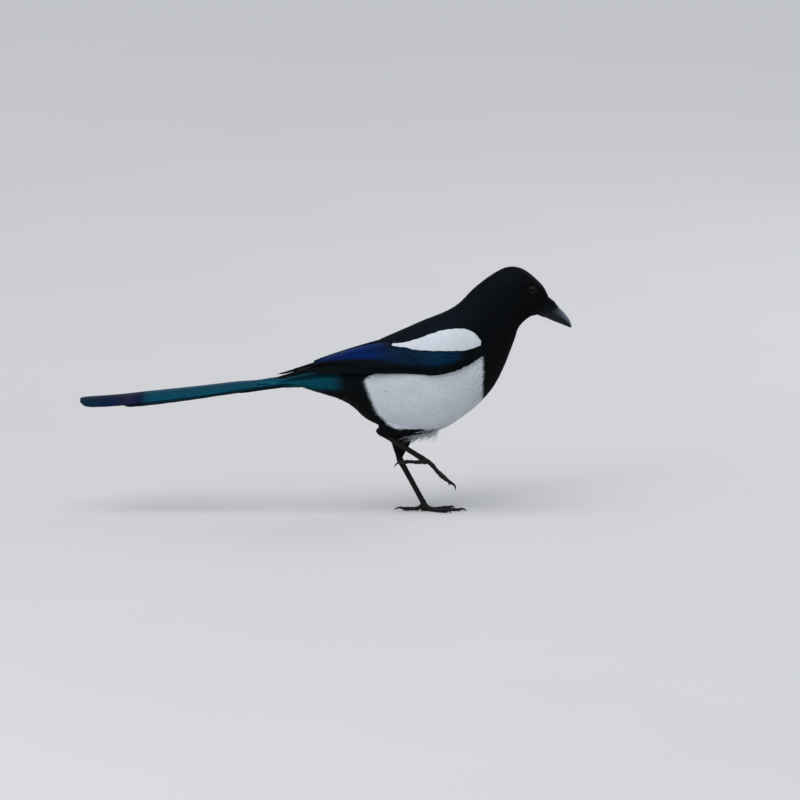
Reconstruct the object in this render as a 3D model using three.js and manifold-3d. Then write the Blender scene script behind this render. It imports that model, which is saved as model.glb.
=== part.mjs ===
// Eurasian magpie, life size, walking: it stands on its left foot and swings the right one forward.
// Millimetres. +X is the way it faces, +Y its left side, +Z up. The origin lies on the ground
// under the ball of the standing foot.
import * as THREE from "three";
import { mergeVertices } from "three/addons/utils/BufferGeometryUtils.js";
import Module from "manifold-3d";

const wasm = await Module();
wasm.setup();

// Driving sizes
const seam = 0.3; // gap that touching pieces keep
const bodySegments = 22; // points round the body
const stepsPerSection = 1.6; // rings between two body sections
const tailLength = 198.4; // longest tail feather, from the tip of the coverts
const tailRoll = 10; // degrees, the right edge of the tail hangs lower
const eyeRadius = 3.9;
const shankRadius = 2.5;
const toeRadius = 1.75;

// Body sections from the bill to the tail coverts, seen from the side: the back and belly ends
// of each section as [x, z], half its width, and how full it is (2 is an ellipse, more is squarer).
const bodySections = {
  billBase: { back: [110, 189.8], belly: [99.9, 174.8], half: 7.2, full: 2.3 },
  eyes: { back: [103.4, 201.4], belly: [92.4, 173], half: 12.6, full: 2.7 },
  crown: { back: [88, 214.5], belly: [83.6, 164.6], half: 15.8, full: 2.7 },
  cheeks: { back: [73.9, 217], belly: [79.6, 153.3], half: 17.6, full: 2.5 },
  nape: { back: [59.8, 210.4], belly: [75.7, 142.6], half: 19, full: 2.3 },
  throat: { back: [44, 198.3], belly: [70.4, 129.2], half: 21.5, full: 2.2 },
  neckBase: { back: [30.4, 184.6], belly: [62, 112.7], half: 26, full: 2.2 },
  shoulder: { back: [17.6, 176.9], belly: [50.2, 98.3], half: 30.2, full: 2.2 },
  chest: { back: [0, 169.8], belly: [33.4, 84.2], half: 32.6, full: 2.2 },
  flank: { back: [-19.4, 161.2], belly: [11.4, 72], half: 32.8, full: 2.2 },
  thighs: { back: [-40.5, 151.8], belly: [-18.5, 70], half: 29, full: 2.2 },
  vent: { back: [-63.4, 139.5], belly: [-48.4, 81.5], half: 22, full: 2.2 },
  undertail: { back: [-74, 133.6], belly: [-61.4, 92.6], half: 18.6, full: 2.2 },
  rump: { back: [-84.5, 127.8], belly: [-73.9, 100], half: 15.5, full: 2.2 },
  coverts: { back: [-103.8, 120.7], belly: [-101.2, 108.7], half: 10.5, full: 2.2 },
};
const sectionNames = Object.keys(bodySections);
const sectionAt = (name) => sectionNames.indexOf(name);

// Small vector and number helpers
const vec = (x, y, z) => new THREE.Vector3(x, y, z);
const mix = THREE.MathUtils.lerp;
const clamp = THREE.MathUtils.clamp;
const radians = THREE.MathUtils.degToRad;

// A smooth curve through rows of [place, value, value, ...], with place rising.
function through(rows) {
  const slope = (i, k) => {
    const before = rows[Math.max(i - 1, 0)];
    const after = rows[Math.min(i + 1, rows.length - 1)];
    return (after[k] - before[k]) / (after[0] - before[0]);
  };
  return (place) => {
    let i = 0;
    while (i < rows.length - 2 && place > rows[i + 1][0]) i++;
    const step = rows[i + 1][0] - rows[i][0];
    const s = (place - rows[i][0]) / step;
    const values = [];
    for (let k = 1; k < rows[0].length; k++) {
      if (s < 0 || s > 1) {
        const end = s < 0 ? i : i + 1;
        values.push(rows[end][k] + (place - rows[end][0]) * slope(end, k));
        continue;
      }
      const a = rows[i][k];
      const b = rows[i + 1][k];
      const ease = s * s * (3 - 2 * s);
      const out = s * (1 - s) * (1 - s) * step * slope(i, k);
      const back = s * s * (s - 1) * step * slope(i + 1, k);
      values.push(mix(a, b, ease) + out + back);
    }
    return values;
  };
}

// Solids
function manifoldFrom(points, faces) {
  const geometry = new THREE.BufferGeometry();
  const coordinates = points.flatMap((p) => p.toArray());
  geometry.setAttribute("position", new THREE.Float32BufferAttribute(coordinates, 3));
  geometry.setIndex(faces.flat());
  const merged = mergeVertices(geometry, 1e-4);
  const triVerts = new Uint32Array(
    [...Array(merged.index.count / 3).keys()]
      .map((i) => [0, 1, 2].map((k) => merged.index.array[3 * i + k]))
      .filter(([a, b, c]) => a !== b && b !== c && c !== a)
      .flat(),
  );
  const vertProperties = merged.attributes.position.array;
  const build = () => new wasm.Manifold(new wasm.Mesh({ numProp: 3, vertProperties, triVerts }));
  const made = build();
  if (made.volume() >= 0) return made;
  for (let i = 0; i < triVerts.length; i += 3) {
    [triVerts[i + 1], triVerts[i + 2]] = [triVerts[i + 2], triVerts[i + 1]];
  }
  return build();
}

// A closed skin over rings of equal length, with a fan over each end.
function ringSolid(rings) {
  const count = rings[0].length;
  const points = rings.flat();
  const faces = [];
  for (let i = 0; i < rings.length - 1; i++) {
    for (let j = 0; j < count; j++) {
      const a = i * count + j;
      const b = i * count + ((j + 1) % count);
      faces.push([a, b, b + count], [a, b + count, a + count]);
    }
  }
  [rings[0], rings[rings.length - 1]].forEach((ring, end) => {
    const centre = ring.reduce((sum, p) => sum.add(p), vec(0, 0, 0)).divideScalar(count);
    const first = end ? (rings.length - 1) * count : 0;
    points.push(centre);
    for (let j = 0; j < count; j++) {
      const edge = [first + j, first + ((j + 1) % count)];
      faces.push(end ? [edge[0], edge[1], points.length - 1] : [edge[1], edge[0], points.length - 1]);
    }
  });
  return manifoldFrom(points, faces);
}

// A closed slab between two grids of points, split into triangles alike on both faces.
function slabSolid(upper, lower) {
  const rows = upper.length;
  const across = upper[0].length;
  const points = [...upper.flat(), ...lower.flat()];
  const under = rows * across;
  const at = (i, j) => i * across + j;
  const faces = [];
  for (let i = 0; i < rows - 1; i++) {
    for (let j = 0; j < across - 1; j++) {
      const [a, b, c, d] = [at(i, j), at(i, j + 1), at(i + 1, j + 1), at(i + 1, j)];
      faces.push([a, b, c], [a, c, d]);
      faces.push([under + a, under + c, under + b], [under + a, under + d, under + c]);
    }
  }
  const rim = [];
  for (let j = 0; j < across - 1; j++) rim.push(at(0, j));
  for (let i = 0; i < rows - 1; i++) rim.push(at(i, across - 1));
  for (let j = across - 1; j > 0; j--) rim.push(at(rows - 1, j));
  for (let i = rows - 1; i > 0; i--) rim.push(at(i, 0));
  rim.forEach((a, n) => {
    const b = rim[(n + 1) % rim.length];
    faces.push([b, a, under + a], [b, under + a, under + b]);
  });
  return manifoldFrom(points, faces);
}

// A round tube along points, with a radius at each and flatter from side to side where asked.
function tube(points, radii, sides = 8, sideways = 1) {
  const rings = points.map((p, i) => {
    const before = points[Math.max(i - 1, 0)];
    const after = points[Math.min(i + 1, points.length - 1)];
    const along = after.clone().sub(before).normalize();
    const lateral = vec(0, 1, 0).addScaledVector(along, -along.y).normalize();
    const upward = lateral.clone().cross(along);
    return Array.from({ length: sides }, (_, j) => {
      const angle = (2 * Math.PI * (j + 0.5)) / sides;
      return p
        .clone()
        .addScaledVector(lateral, radii[i] * sideways * Math.cos(angle))
        .addScaledVector(upward, radii[i] * Math.sin(angle));
    });
  });
  return ringSolid(rings);
}

const ball = (centre, radius, squash = vec(1, 1, 1), segments = 14) => {
  const sphere = new THREE.SphereGeometry(radius, segments, Math.round(segments * 0.6));
  sphere.deleteAttribute("normal");
  sphere.deleteAttribute("uv");
  sphere.scale(squash.x, squash.y, squash.z).translate(centre.x, centre.y, centre.z);
  const position = sphere.getAttribute("position");
  const points = [...Array(position.count).keys()].map((i) => vec().fromBufferAttribute(position, i));
  const index = sphere.index.array;
  const faces = [...Array(index.length / 3).keys()].map((i) => [...index.slice(3 * i, 3 * i + 3)]);
  return manifoldFrom(points, faces);
};

const joined = (pieces) => wasm.Manifold.union(pieces);

// The largest closed surface of a solid, as one piece.
function largest(solid) {
  return solid.decompose().sort((a, b) => b.volume() - a.volume())[0];
}

// The body as a surface: place runs over the sections, angle is 0 on the back and 180 on the belly.
const bodyCurve = through(
  sectionNames.map((name, i) => {
    const { back, belly, half, full } = bodySections[name];
    return [i, ...back, ...belly, half, full];
  }),
);

function bodyPoint(place, angle, grow = 0) {
  const [backX, backZ, bellyX, bellyZ, half, full] = bodyCurve(place);
  const tall = Math.hypot(backX - bellyX, backZ - bellyZ) / 2;
  const c = Math.cos(radians(angle));
  const s = Math.sin(radians(angle));
  const up = (Math.sign(c) * Math.abs(c) ** (2 / full) * (tall + grow)) / tall;
  const side = Math.sign(s) * Math.abs(s) ** (2 / full) * (half + grow);
  return vec(mix((backX + bellyX) / 2, backX, up), side, mix((backZ + bellyZ) / 2, backZ, up));
}

function bodySolid(from, to, grow = 0) {
  const count = Math.round((to - from) * stepsPerSection) + 1;
  const rings = [...Array(count).keys()].map((i) => {
    const place = mix(from, to, i / (count - 1));
    return Array.from({ length: bodySegments }, (_, j) => bodyPoint(place, (360 * j) / bodySegments, grow));
  });
  return ringSolid(rings);
}

// How far out the body's side is at a point seen from the side.
function bodySide(x, z) {
  let [low, high] = [0, sectionNames.length - 1];
  for (let i = 0; i < 40; i++) {
    const place = (low + high) / 2;
    const [backX, backZ, bellyX, bellyZ] = bodyCurve(place);
    const ahead = (x - bellyX) * (backZ - bellyZ) - (z - bellyZ) * (backX - bellyX);
    if (ahead > 0) high = place;
    else low = place;
  }
  const [backX, backZ, bellyX, bellyZ, half, full] = bodyCurve(low);
  const up = ((x - bellyX) * (backX - bellyX) + (z - bellyZ) * (backZ - bellyZ)) /
    ((backX - bellyX) ** 2 + (backZ - bellyZ) ** 2);
  return half * (1 - Math.abs(2 * up - 1) ** full) ** (1 / full);
}

// Which way the body's left side faces there.
function bodyFacing(x, z) {
  const d = 0.6;
  const ahead = bodySide(x - d, z) - bodySide(x + d, z);
  const upward = bodySide(x, z - d) - bodySide(x, z + d);
  return vec(ahead, 2 * d, upward).normalize();
}

// The side-view plane through two points [x, z]; what lies to the left of a to b is kept.
function planeThrough(a, b) {
  const normal = [-(b[1] - a[1]), 0, b[0] - a[0]];
  const length = Math.hypot(...normal);
  const unit = normal.map((n) => n / length);
  return { unit, offset: unit[0] * a[0] + unit[2] * a[1] };
}
const keepLeft = (solid, plane) => solid.trimByPlane(plane.unit, plane.offset + seam / 2);
const keepRight = (solid, plane) => solid.trimByPlane(plane.unit.map((n) => -n), -plane.offset + seam / 2);

function planeOfSection(name) {
  const { back, belly } = bodySections[name];
  return planeThrough(belly, back);
}

// The body is modelled whole and parted with thin cuts along feather edges.
const wholeBody = bodySolid(0, sectionNames.length - 1);
const bodyClearance = bodySolid(0, sectionNames.length - 1, seam);
const headPlane = planeThrough([81.5, 158], [62, 213]);
const neckPlane = planeOfSection("neckBase");
const breastPlane = planeThrough([51.8, 97], [39, 181]);
const flankLine = planeThrough([60, 136], [-110, 124]);
const bellyPlanes = [
  planeThrough([-52, 122], [-41, 88]),
  planeThrough([-47, 99], [-24, 75]),
  planeThrough([-30, 79.5], [20, 72.5]),
];

function bodyParts() {
  const head = keepRight(wholeBody, headPlane);
  const behindHead = keepLeft(wholeBody, headPlane);
  const neck = keepRight(behindHead, neckPlane);
  const behindNeck = keepLeft(behindHead, neckPlane);
  const breast = keepRight(behindNeck, breastPlane);
  const trunk = keepLeft(behindNeck, breastPlane);
  const back = keepRight(trunk, flankLine);
  const under = keepLeft(trunk, flankLine);
  const belly = bellyPlanes.reduce(keepLeft, under);
  const vent = joined(bellyPlanes.map((plane) => keepRight(under, plane)));
  return { head, neck, breast, back, belly, vent };
}

// A feather: a tapered, rounded vane laid along a surface, with its shaft at the middle.
// surface(along, across, height) gives points; along runs 0 to 1 from root to tip.
const vaneShape = [
  { along: 0, width: 0.62 },
  { along: 0.4, width: 0.96 },
  { along: 0.74, width: 1 },
  { along: 0.92, width: 0.76 },
  { along: 1, width: 0.26 },
];

function vane(surface, { width, shape = vaneShape, edges = [-1, 1], top, under }) {
  const face = (height) =>
    shape.map(({ along, width: share }) =>
      edges.map((edge) => surface(along, (edge * width * share) / 2, height(along, edge))));
  return slabSolid(face(top), face(under));
}

// The folded wing as a sheet: along x, its upper and lower edges as [y, z] and how far it bulges.
const wingEdges = [
  { x: -136, upper: [10.5, 120.8], lower: [11.5, 118], bulge: 0 },
  { x: -118, upper: [6.5, 125.3], lower: [13, 121.3], bulge: 0.6 },
  { x: -101, upper: [4.5, 130.4], lower: [15.5, 126.2], bulge: 1.2 },
  { x: -80, upper: [4, 138.4], lower: [19, 127.8], bulge: 2.4 },
  { x: -58, upper: [5, 145.8], lower: [24.5, 128.4], bulge: 3.4 },
  { x: -36, upper: [10.5, 151.4], lower: [30.5, 128.6], bulge: 3.8 },
  { x: -14, upper: [16.4, 155.8], lower: [33.4, 128.4], bulge: 3.8 },
  { x: 8, upper: [21.6, 159], lower: [34.8, 127], bulge: 3.6 },
  { x: 28, upper: [24, 160.5], lower: [33.4, 130.6], bulge: 2.8 },
  { x: 42, upper: [24.4, 158], lower: [29.8, 137.3], bulge: 1.8 },
  { x: 52, upper: [23.4, 153], lower: [25.4, 143.2], bulge: 0.6 },
];
const wingCoreEnd = -98; // the stack of folded feathers is solid from here forward
const vaneThick = 0.8;

function sheetThrough(edges) {
  const curve = through(edges.map((e) => [e.x, ...e.upper, ...e.lower, e.bulge]));
  const flat = (x, down) => {
    const [upperY, upperZ, lowerY, lowerZ, bulge] = curve(x);
    const length = Math.hypot(lowerY - upperY, lowerZ - upperZ);
    const out = bulge * 4 * down * (1 - down);
    return vec(
      x,
      mix(upperY, lowerY, down) + (out * (upperZ - lowerZ)) / length,
      mix(upperZ, lowerZ, down) + (out * (lowerY - upperY)) / length,
    );
  };
  const depth = (x) => {
    const [upperY, upperZ, lowerY, lowerZ] = curve(x);
    return Math.hypot(lowerY - upperY, lowerZ - upperZ);
  };
  const point = (x, down, height = 0) => {
    const along = flat(x + 1, down).sub(flat(x - 1, down));
    const across = flat(x, down + 0.02).sub(flat(x, down - 0.02));
    const normal = along.cross(across).normalize();
    if (normal.y < 0) normal.negate();
    return flat(x, down).addScaledVector(normal, height);
  };
  return { point, depth };
}
const wingSheet = sheetThrough(wingEdges);

// Tiers of wing feathers from the lowest up: roots and tips are [x, share of the way down] for
// the first and the last one, layer is their height and bow how much farther the middle ones reach.
const wingTiers = {
  primaries: {
    count: 6, width: 8.5, layer: [-0.2, -0.5], bow: { at: 0.4, by: -31 },
    roots: [[14, 0.66], [32, 0.9]], tips: [[-104, 0.3], [-98, 0.92]],
  },
  secondaries: {
    count: 7, width: 10, layer: [1.1, 0.5], bow: { at: 0.3, by: -30 },
    roots: [[0, 0.16], [22, 0.72]], tips: [[-74, 0.14], [-62, 0.76]],
  },
  primaryCoverts: {
    count: 3, width: 9, layer: [0.5, 0.4], bow: { at: 0.5, by: 0 },
    roots: [[41, 0.66], [42, 0.86]], tips: [[-6, 0.72], [-2, 0.89]],
  },
  greaterCoverts: {
    count: 5, width: 10, layer: [1.9, 1.3], bow: { at: 0.5, by: -3 },
    roots: [[26, 0.14], [36, 0.64]], tips: [[-24, 0.14], [-6, 0.68]],
  },
  medianCoverts: {
    count: 4, width: 9.5, layer: [1.7, 1.3], bow: { at: 0.5, by: -3 },
    roots: [[43, 0.24], [45, 0.8]], tips: [[16, 0.14], [24, 0.84]],
  },
};

// Each feather tucks its upper edge under the one above and shows its lower edge.
function tierVanes(sheet, tier, coreEnd, lapped = 0.45) {
  return Array.from({ length: tier.count }, (_, n) => {
    const share = tier.count > 1 ? n / (tier.count - 1) : 0;
    const reach = 1 - Math.abs(share - tier.bow.at) / Math.max(tier.bow.at, 1 - tier.bow.at);
    const root = tier.roots[0].map((v, k) => mix(v, tier.roots[1][k], share));
    const tip = tier.tips[0].map((v, k) => mix(v, tier.tips[1][k], share));
    tip[0] += tier.bow.by * reach;
    const xAt = (along) => mix(root[0], tip[0], along);
    const surface = (along, across, height) => {
      const x = xAt(along);
      return sheet.point(x, mix(root[1], tip[1], along) + across / sheet.depth(x), height);
    };
    const top = (along, edge) => {
      const risen = mix(-0.9, 0, Math.min(1, along * 2.2));
      return mix(tier.layer[0], tier.layer[1], share) + risen + edge * lapped;
    };
    const under = (along, edge) => {
      const free = clamp((coreEnd - xAt(along)) / 14 + 0.5, 0, 1);
      return mix(-1.4, top(along, edge) - vaneThick, free);
    };
    return vane(surface, { width: tier.width, top, under });
  });
}

// The solid stack of the folded wing, which carries the feathers' roots.
function wingCore() {
  const places = [wingCoreEnd, -80, -60, -36, -14, 8, 26, 40, 50.5];
  const downs = [0.08, 0.3, 0.5, 0.7, 0.9];
  const face = (outer) =>
    places.map((x) => {
      const arm = clamp((x + 70) / 50, 0, 1);
      return downs.map((down) => {
        const rim = down === downs[0] || down === downs[4] || x > 50 ? 1.1 : 0.6;
        return wingSheet.point(x, down, outer ? -rim : mix(-1.9, -9, arm));
      });
    });
  return slabSolid(face(true), face(false));
}

// How far out the wing's surface lies at a point seen from the side.
function wingOut(x, z) {
  let [low, high] = [-0.15, 1];
  for (let i = 0; i < 30; i++) {
    const down = (low + high) / 2;
    if (wingSheet.point(x, down).z > z) low = down;
    else high = down;
  }
  return wingSheet.point(x, low).y;
}

// The white shoulder feathers lie over the front of the wing, as a sheet of their own.
const shoulderEdges = [
  { x: -34, top: 150.4, bottom: 149.2, bulge: 0 },
  { x: -18, top: 152.6, bottom: 149.2, bulge: 0.3 },
  { x: -4, top: 156.8, bottom: 148.2, bulge: 0.8 },
  { x: 14, top: 164.6, bottom: 147.9, bulge: 1.6 },
  { x: 32, top: 168, bottom: 148.4, bulge: 1.6 },
  { x: 44, top: 165.2, bottom: 149.8, bulge: 0.9 },
  { x: 51, top: 158, bottom: 151.2, bulge: 0.3 },
];
const shoulderSheet = sheetThrough(
  shoulderEdges.map(({ x, top, bottom, bulge }) => {
    const lift = clamp((x + 34) / 40, 0.45, 1);
    const upper = [wingOut(x, top) + lift, top];
    const lower = [wingOut(x, bottom) + 2.4 * lift, bottom];
    return { x, bulge, upper, lower };
  }),
);
const shoulderTiers = {
  rear: {
    count: 4, width: 8, layer: [0.6, 0.4], bow: { at: 0.3, by: -10 },
    roots: [[16, 0.12], [20, 0.82]], tips: [[-20, 0.28], [-8, 0.8]],
  },
  front: {
    count: 4, width: 8.5, layer: [1, 0.8], bow: { at: 0.5, by: -4 },
    roots: [[43, 0.24], [44, 0.78]], tips: [[6, 0.18], [12, 0.84]],
  },
};

function shoulderSlab({ inner, outer, spread, margin = 0, ends = [-30, 50.5] }) {
  const places = [ends[0] - margin, -16, -2, 14, 32, 44, ends[1] + margin];
  const downs = [0, 0.33, 0.67, 1].map((down) => mix(0.5, down, spread));
  const face = (top) =>
    places.map((x) =>
      downs.map((down, j) => {
        const side = j === 0 ? -1 : j === downs.length - 1 ? 1 : 0;
        const height = (top ? outer - 0.7 * Math.abs(side) : inner) - margin * (top ? -1 : 1);
        return shoulderSheet.point(x, down + (side * margin) / shoulderSheet.depth(x), height);
      }),
    );
  return slabSolid(face(true), face(false));
}

const mirrored = (solid) => solid.mirror([0, 1, 0]);

function wings() {
  const whites = Object.values(shoulderTiers).flatMap((tier) => tierVanes(shoulderSheet, tier, -60, 0.4));
  const shoulderRoom = { inner: -1.8, outer: 9, spread: 1.12, ends: [-33, 51] };
  const shoulder = largest(
    joined([shoulderSlab({ inner: -1.8, outer: 0.2, spread: 0.9 }), ...whites])
      .intersect(shoulderSlab(shoulderRoom))
      .subtract(bodyClearance),
  );
  const feathers = Object.values(wingTiers).flatMap((tier) => tierVanes(wingSheet, tier, wingCoreEnd));
  const wing = largest(
    joined([wingCore(), ...feathers])
      .subtract(bodyClearance)
      .subtract(shoulderSlab({ ...shoulderRoom, margin: seam })),
  );
  return { wing, shoulder };
}

// The folded tail: its axis as [x, z], and six pairs of feathers, the middle pair on top.
const tailAxis = through([
  [-302.9, 100],
  [-270, 102.2],
  [-241, 105.4],
  [-197, 110],
  [-153, 115],
  [-104.1, 117.2],
]);
const tailPairs = [
  { short: 0, side: 0.8, width: 29 },
  { short: 36, side: 3, width: 25 },
  { short: 66, side: 4.2, width: 21 },
  { short: 92, side: 5, width: 18 },
  { short: 114, side: 5.6, width: 15 },
  { short: 138, side: 6, width: 13 },
];
const tailLayer = 0.55; // how far each pair lies under the one above
const tailArch = 3.6; // drop of the edges 16 mm out
const tailStart = -104.1;
const tailVaneShape = [
  { along: 0, width: 0.34 },
  { along: 0.16, width: 0.52 },
  { along: 0.42, width: 0.84 },
  { along: 0.72, width: 1 },
  { along: 0.93, width: 0.97 },
  { along: 0.98, width: 0.8 },
  { along: 1, width: 0.42 },
];

function tailPoint(x, side, height) {
  const roll = radians(tailRoll) * clamp((tailStart - x) / 60, 0, 1);
  const arched = height - tailArch * (side / 16) ** 2;
  const z = tailAxis(x)[0];
  const [c, s] = [Math.cos(roll), Math.sin(roll)];
  return vec(x, side * c - arched * s, z + side * s + arched * c);
}

function tailSolid() {
  const pieces = tailPairs.flatMap((pair, n) =>
    [-1, 1].map((left) => {
      const layer = -tailLayer * n - (left > 0 ? 0.3 : 0);
      const surface = (along, across, height) => {
        const out = pair.side * mix(0.3, 1, Math.min(1, along * 1.2));
        return tailPoint(tailStart - (tailLength - pair.short) * along, left * out + across, layer + height);
      };
      const top = (along, edge) => (edge ? 0 : 0.3);
      const under = (along, edge) => top(along, edge) - mix(0.9, 0.65, along);
      return vane(surface, { width: pair.width, shape: tailVaneShape, edges: [-1, 0, 1], top, under });
    }));
  const { back, belly } = bodySections.coverts;
  const rootTall = (back[1] - belly[1]) / 2 - 0.6;
  const rings = [0, 9, 20, 31, 41].map((far) => {
    const fade = 1 - (far / 48) ** 1.6;
    return Array.from({ length: 12 }, (_, j) => {
      const angle = (2 * Math.PI * j) / 12;
      const height = -1.6 + rootTall * fade * Math.sin(angle);
      return tailPoint(tailStart - far, 9.4 * mix(0.6, 1, fade) * Math.cos(angle), height);
    });
  });
  return largest(joined([...pieces, ringSolid(rings)]));
}

// Bill: three lines seen from the side, as [x, z] from base to tip, and half widths.
const culmen = [[110.9, 187.6], [115.3, 184], [119.7, 180.2], [124.1, 175.7], [127.5, 170.9], [129.8, 165.2]];
const mouthLine = [[105.6, 181.4], [112.3, 177.4], [118, 173.9], [122.6, 170.5], [126.4, 167.2], [129.5, 163.6]];
const gonys = [[101, 174.6], [108.2, 171.6], [113.5, 169.2], [118.6, 167.3], [123, 165.5], [127.6, 163.7]];
const billHalf = [6.2, 5.3, 4.3, 3.2, 2, 0.7];

function billSolid(ridgeLine, openEdge, direction) {
  const rings = ridgeLine.map((top, i) => {
    const edge = openEdge[i];
    const tall = [top[0] - edge[0], top[1] - edge[1]];
    const shift = (direction * seam) / 2;
    return Array.from({ length: 9 }, (_, j) => {
      const angle = (Math.PI * j) / 8;
      const up = Math.sin(angle) ** 0.9;
      return vec(edge[0] + tall[0] * up, billHalf[i] * Math.cos(angle), edge[1] + tall[1] * up + shift * (1 - up));
    });
  });
  return ringSolid(rings);
}

// The head gets its eye sockets, lids, mouth corners and the bristles over the bill.
const eyeSpot = [95.4, 198.6];
const eyeSink = 2.7; // how deep the eye's centre lies under the skin
const lidWidth = 0.8;

function eyeAim(left) {
  const facing = bodyFacing(...eyeSpot);
  return vec(facing.x, left * (facing.y + 0.15), facing.z).normalize();
}

function eyeCentre(left) {
  const facing = bodyFacing(...eyeSpot);
  const skin = vec(eyeSpot[0], bodySide(...eyeSpot), eyeSpot[1]).addScaledVector(facing, -eyeSink);
  return skin.multiply(vec(1, left, 1));
}

// An oval ring of skin round the eye, a little longer than tall.
function lid(left) {
  const out = eyeAim(left);
  const forward = vec(1, 0, -0.4).addScaledVector(out, 0.4 * out.z - out.x).normalize();
  const up = out.clone().cross(forward);
  const centre = eyeCentre(left).addScaledVector(out, eyeSink - 0.3);
  const [count, sides] = [16, 6];
  const points = [];
  const faces = [];
  for (let i = 0; i < count; i++) {
    const angle = (2 * Math.PI * i) / count;
    const spoke = forward.clone().multiplyScalar(3.6 * Math.cos(angle));
    spoke.addScaledVector(up, 3.2 * Math.sin(angle));
    const away = spoke.clone().normalize();
    for (let j = 0; j < sides; j++) {
      const turn = (2 * Math.PI * j) / sides;
      points.push(
        centre
          .clone()
          .add(spoke)
          .addScaledVector(away, lidWidth * Math.cos(turn))
          .addScaledVector(out, lidWidth * Math.sin(turn)),
      );
      const [a, b] = [i * sides + j, i * sides + ((j + 1) % sides)];
      const [d, c] = [a, b].map((n) => (n + sides) % (count * sides));
      faces.push([a, b, c], [a, c, d]);
    }
  }
  return manifoldFrom(points, faces);
}

// Stiff bristles lie forward over the base of the bill and hide the nostrils.
function bristles() {
  const count = 9;
  const locks = Array.from({ length: count }, (_, n) => {
    const turn = mix(-80, 80, n / (count - 1));
    const length = mix(1.9, 1.25, Math.abs(turn) / 80) * (n % 2 ? 0.9 : 1);
    const surface = (along, across, height) => {
      const place = along * length - 0.6;
      const i = clamp(Math.floor(place), 0, culmen.length - 2);
      const top = culmen[i].map((v, k) => mix(v, culmen[i + 1][k], place - i));
      const edge = mouthLine[i].map((v, k) => mix(v, mouthLine[i + 1][k], place - i));
      const half = mix(billHalf[i], billHalf[i + 1], place - i);
      const tall = Math.hypot(top[0] - edge[0], top[1] - edge[1]);
      const angle = radians(turn) + across / 7;
      const up = Math.cos(angle) * (1 + height / tall);
      return vec(mix(edge[0], top[0], up), (half + height) * Math.sin(angle), mix(edge[1], top[1], up));
    };
    const top = (along, edge) => (edge ? 1.15 : 1.5) - 1.4 * Math.max(0, 0.35 - along);
    return vane(surface, { width: 3, shape: bristleShape, edges: [-1, 0, 1], top, under: () => 0.45 });
  });
  return joined(locks);
}
const bristleShape = [
  { along: 0, width: 1.05 },
  { along: 0.45, width: 1 },
  { along: 0.8, width: 0.62 },
  { along: 1, width: 0.14 },
];

// The mouth's line runs back from the bill across the cheek, as a groove.
const gape = [[91.5, 186.3], [98.5, 184.4], [106, 181.2]];

function finishHead(head, upper, lower) {
  const grooves = [-1, 1].map((left) =>
    ringSolid(gape.map(([x, z], i) => {
      const y = Math.max(bodySide(Math.min(x, 103), z), 6.5);
      const half = mix(0.35, 0.55, i / 2);
      return [[-1.1, 0], [0.4, half], [3, half], [3, -half], [0.4, -half]].map(([outward, rise]) =>
        vec(x, left * (y + outward), z + rise));
    })));
  const sockets = [-1, 1].map((left) => ball(eyeCentre(left), eyeRadius + seam));
  const sideways = [[seam, 0, 0], [0, seam, 0], [0, 0, seam]];
  const nudges = [[0, 0, 0], ...sideways, ...sideways.map((by) => by.map((v) => -v))];
  const billRoom = [upper, lower].flatMap((bill) => nudges.map((by) => bill.translate(by)));
  const dressed = joined([head, bristles(), lid(-1), lid(1)]);
  return largest(dressed.subtract(joined([...sockets, ...grooves, ...billRoom])));
}

// Legs: joints as [x, y, z]
const legs = {
  left: {
    hip: [-8, 14, 84], knee: [-13, 12.5, 72], ankle: [-21.8, 5.5, 46], foot: [0, 0, 6.5],
    thigh: { thick: 12.5, thin: 3.4, taper: 1.9 },
  },
  right: {
    hip: [8, -9, 92], knee: [-6, -14.6, 77], ankle: [-39.6, -15.5, 73.6], foot: [0, -13.5, 48],
    thigh: { thick: 9.5, thin: 4.8, taper: 1.4 },
  },
};
const shankScutes = 7;

function shankPath(leg) {
  const ankle = vec(...leg.ankle);
  const foot = vec(...leg.foot);
  const along = foot.clone().sub(ankle).normalize();
  const points = [ankle.clone().addScaledVector(along, -2.4), ankle.clone().addScaledVector(along, -1.2), ankle];
  const radii = [1.3, 2.6, 3.1];
  for (let i = 0; i < shankScutes; i++) {
    const start = mix(0.09, 0.94, i / shankScutes);
    const end = mix(0.09, 0.94, (i + 0.94) / shankScutes);
    points.push(ankle.clone().lerp(foot, start), ankle.clone().lerp(foot, end));
    radii.push(shankRadius * 0.96, shankRadius * 1.09);
  }
  points.push(foot);
  radii.push(2.7);
  return { points, radii };
}

function shankSolid(leg, grow = 0) {
  const { points, radii } = shankPath(leg);
  return tube(points, radii.map((r) => r + grow), 8, 0.72);
}

function thighSolid(leg) {
  const { thick, thin, taper } = leg.thigh;
  const [hip, knee, ankle] = [leg.hip, leg.knee, leg.ankle].map((p) => vec(...p));
  const path = new THREE.CatmullRomCurve3([hip, knee, knee.clone().lerp(ankle, 0.5), ankle]);
  const steps = 9;
  const points = path.getPoints(steps);
  const radii = points.map((_, i) => mix(thick, thin, (i / steps) ** taper));
  return tube(points, radii, 12, 0.85);
}

// Toes: yaw from straight ahead, the pitch of each joint below level, and the lengths between.
const groundPitches = [44, 24, 2, 0, 0];
const liftedPitches = [28, 40, 50, 44, 38];
const toeSet = {
  inner: { yaw: 30, lengths: [4.5, 4.5, 6, 5, 4], claw: 6.5 },
  middle: { yaw: 2, lengths: [4.5, 5, 8, 8, 6.5], claw: 8.5 },
  outer: { yaw: -26, lengths: [4.5, 5, 6, 6, 5], claw: 6.5 },
  hind: { yaw: 184, lengths: [4, 3.5, 4, 4.5, 3], claw: 10 },
};

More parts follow.
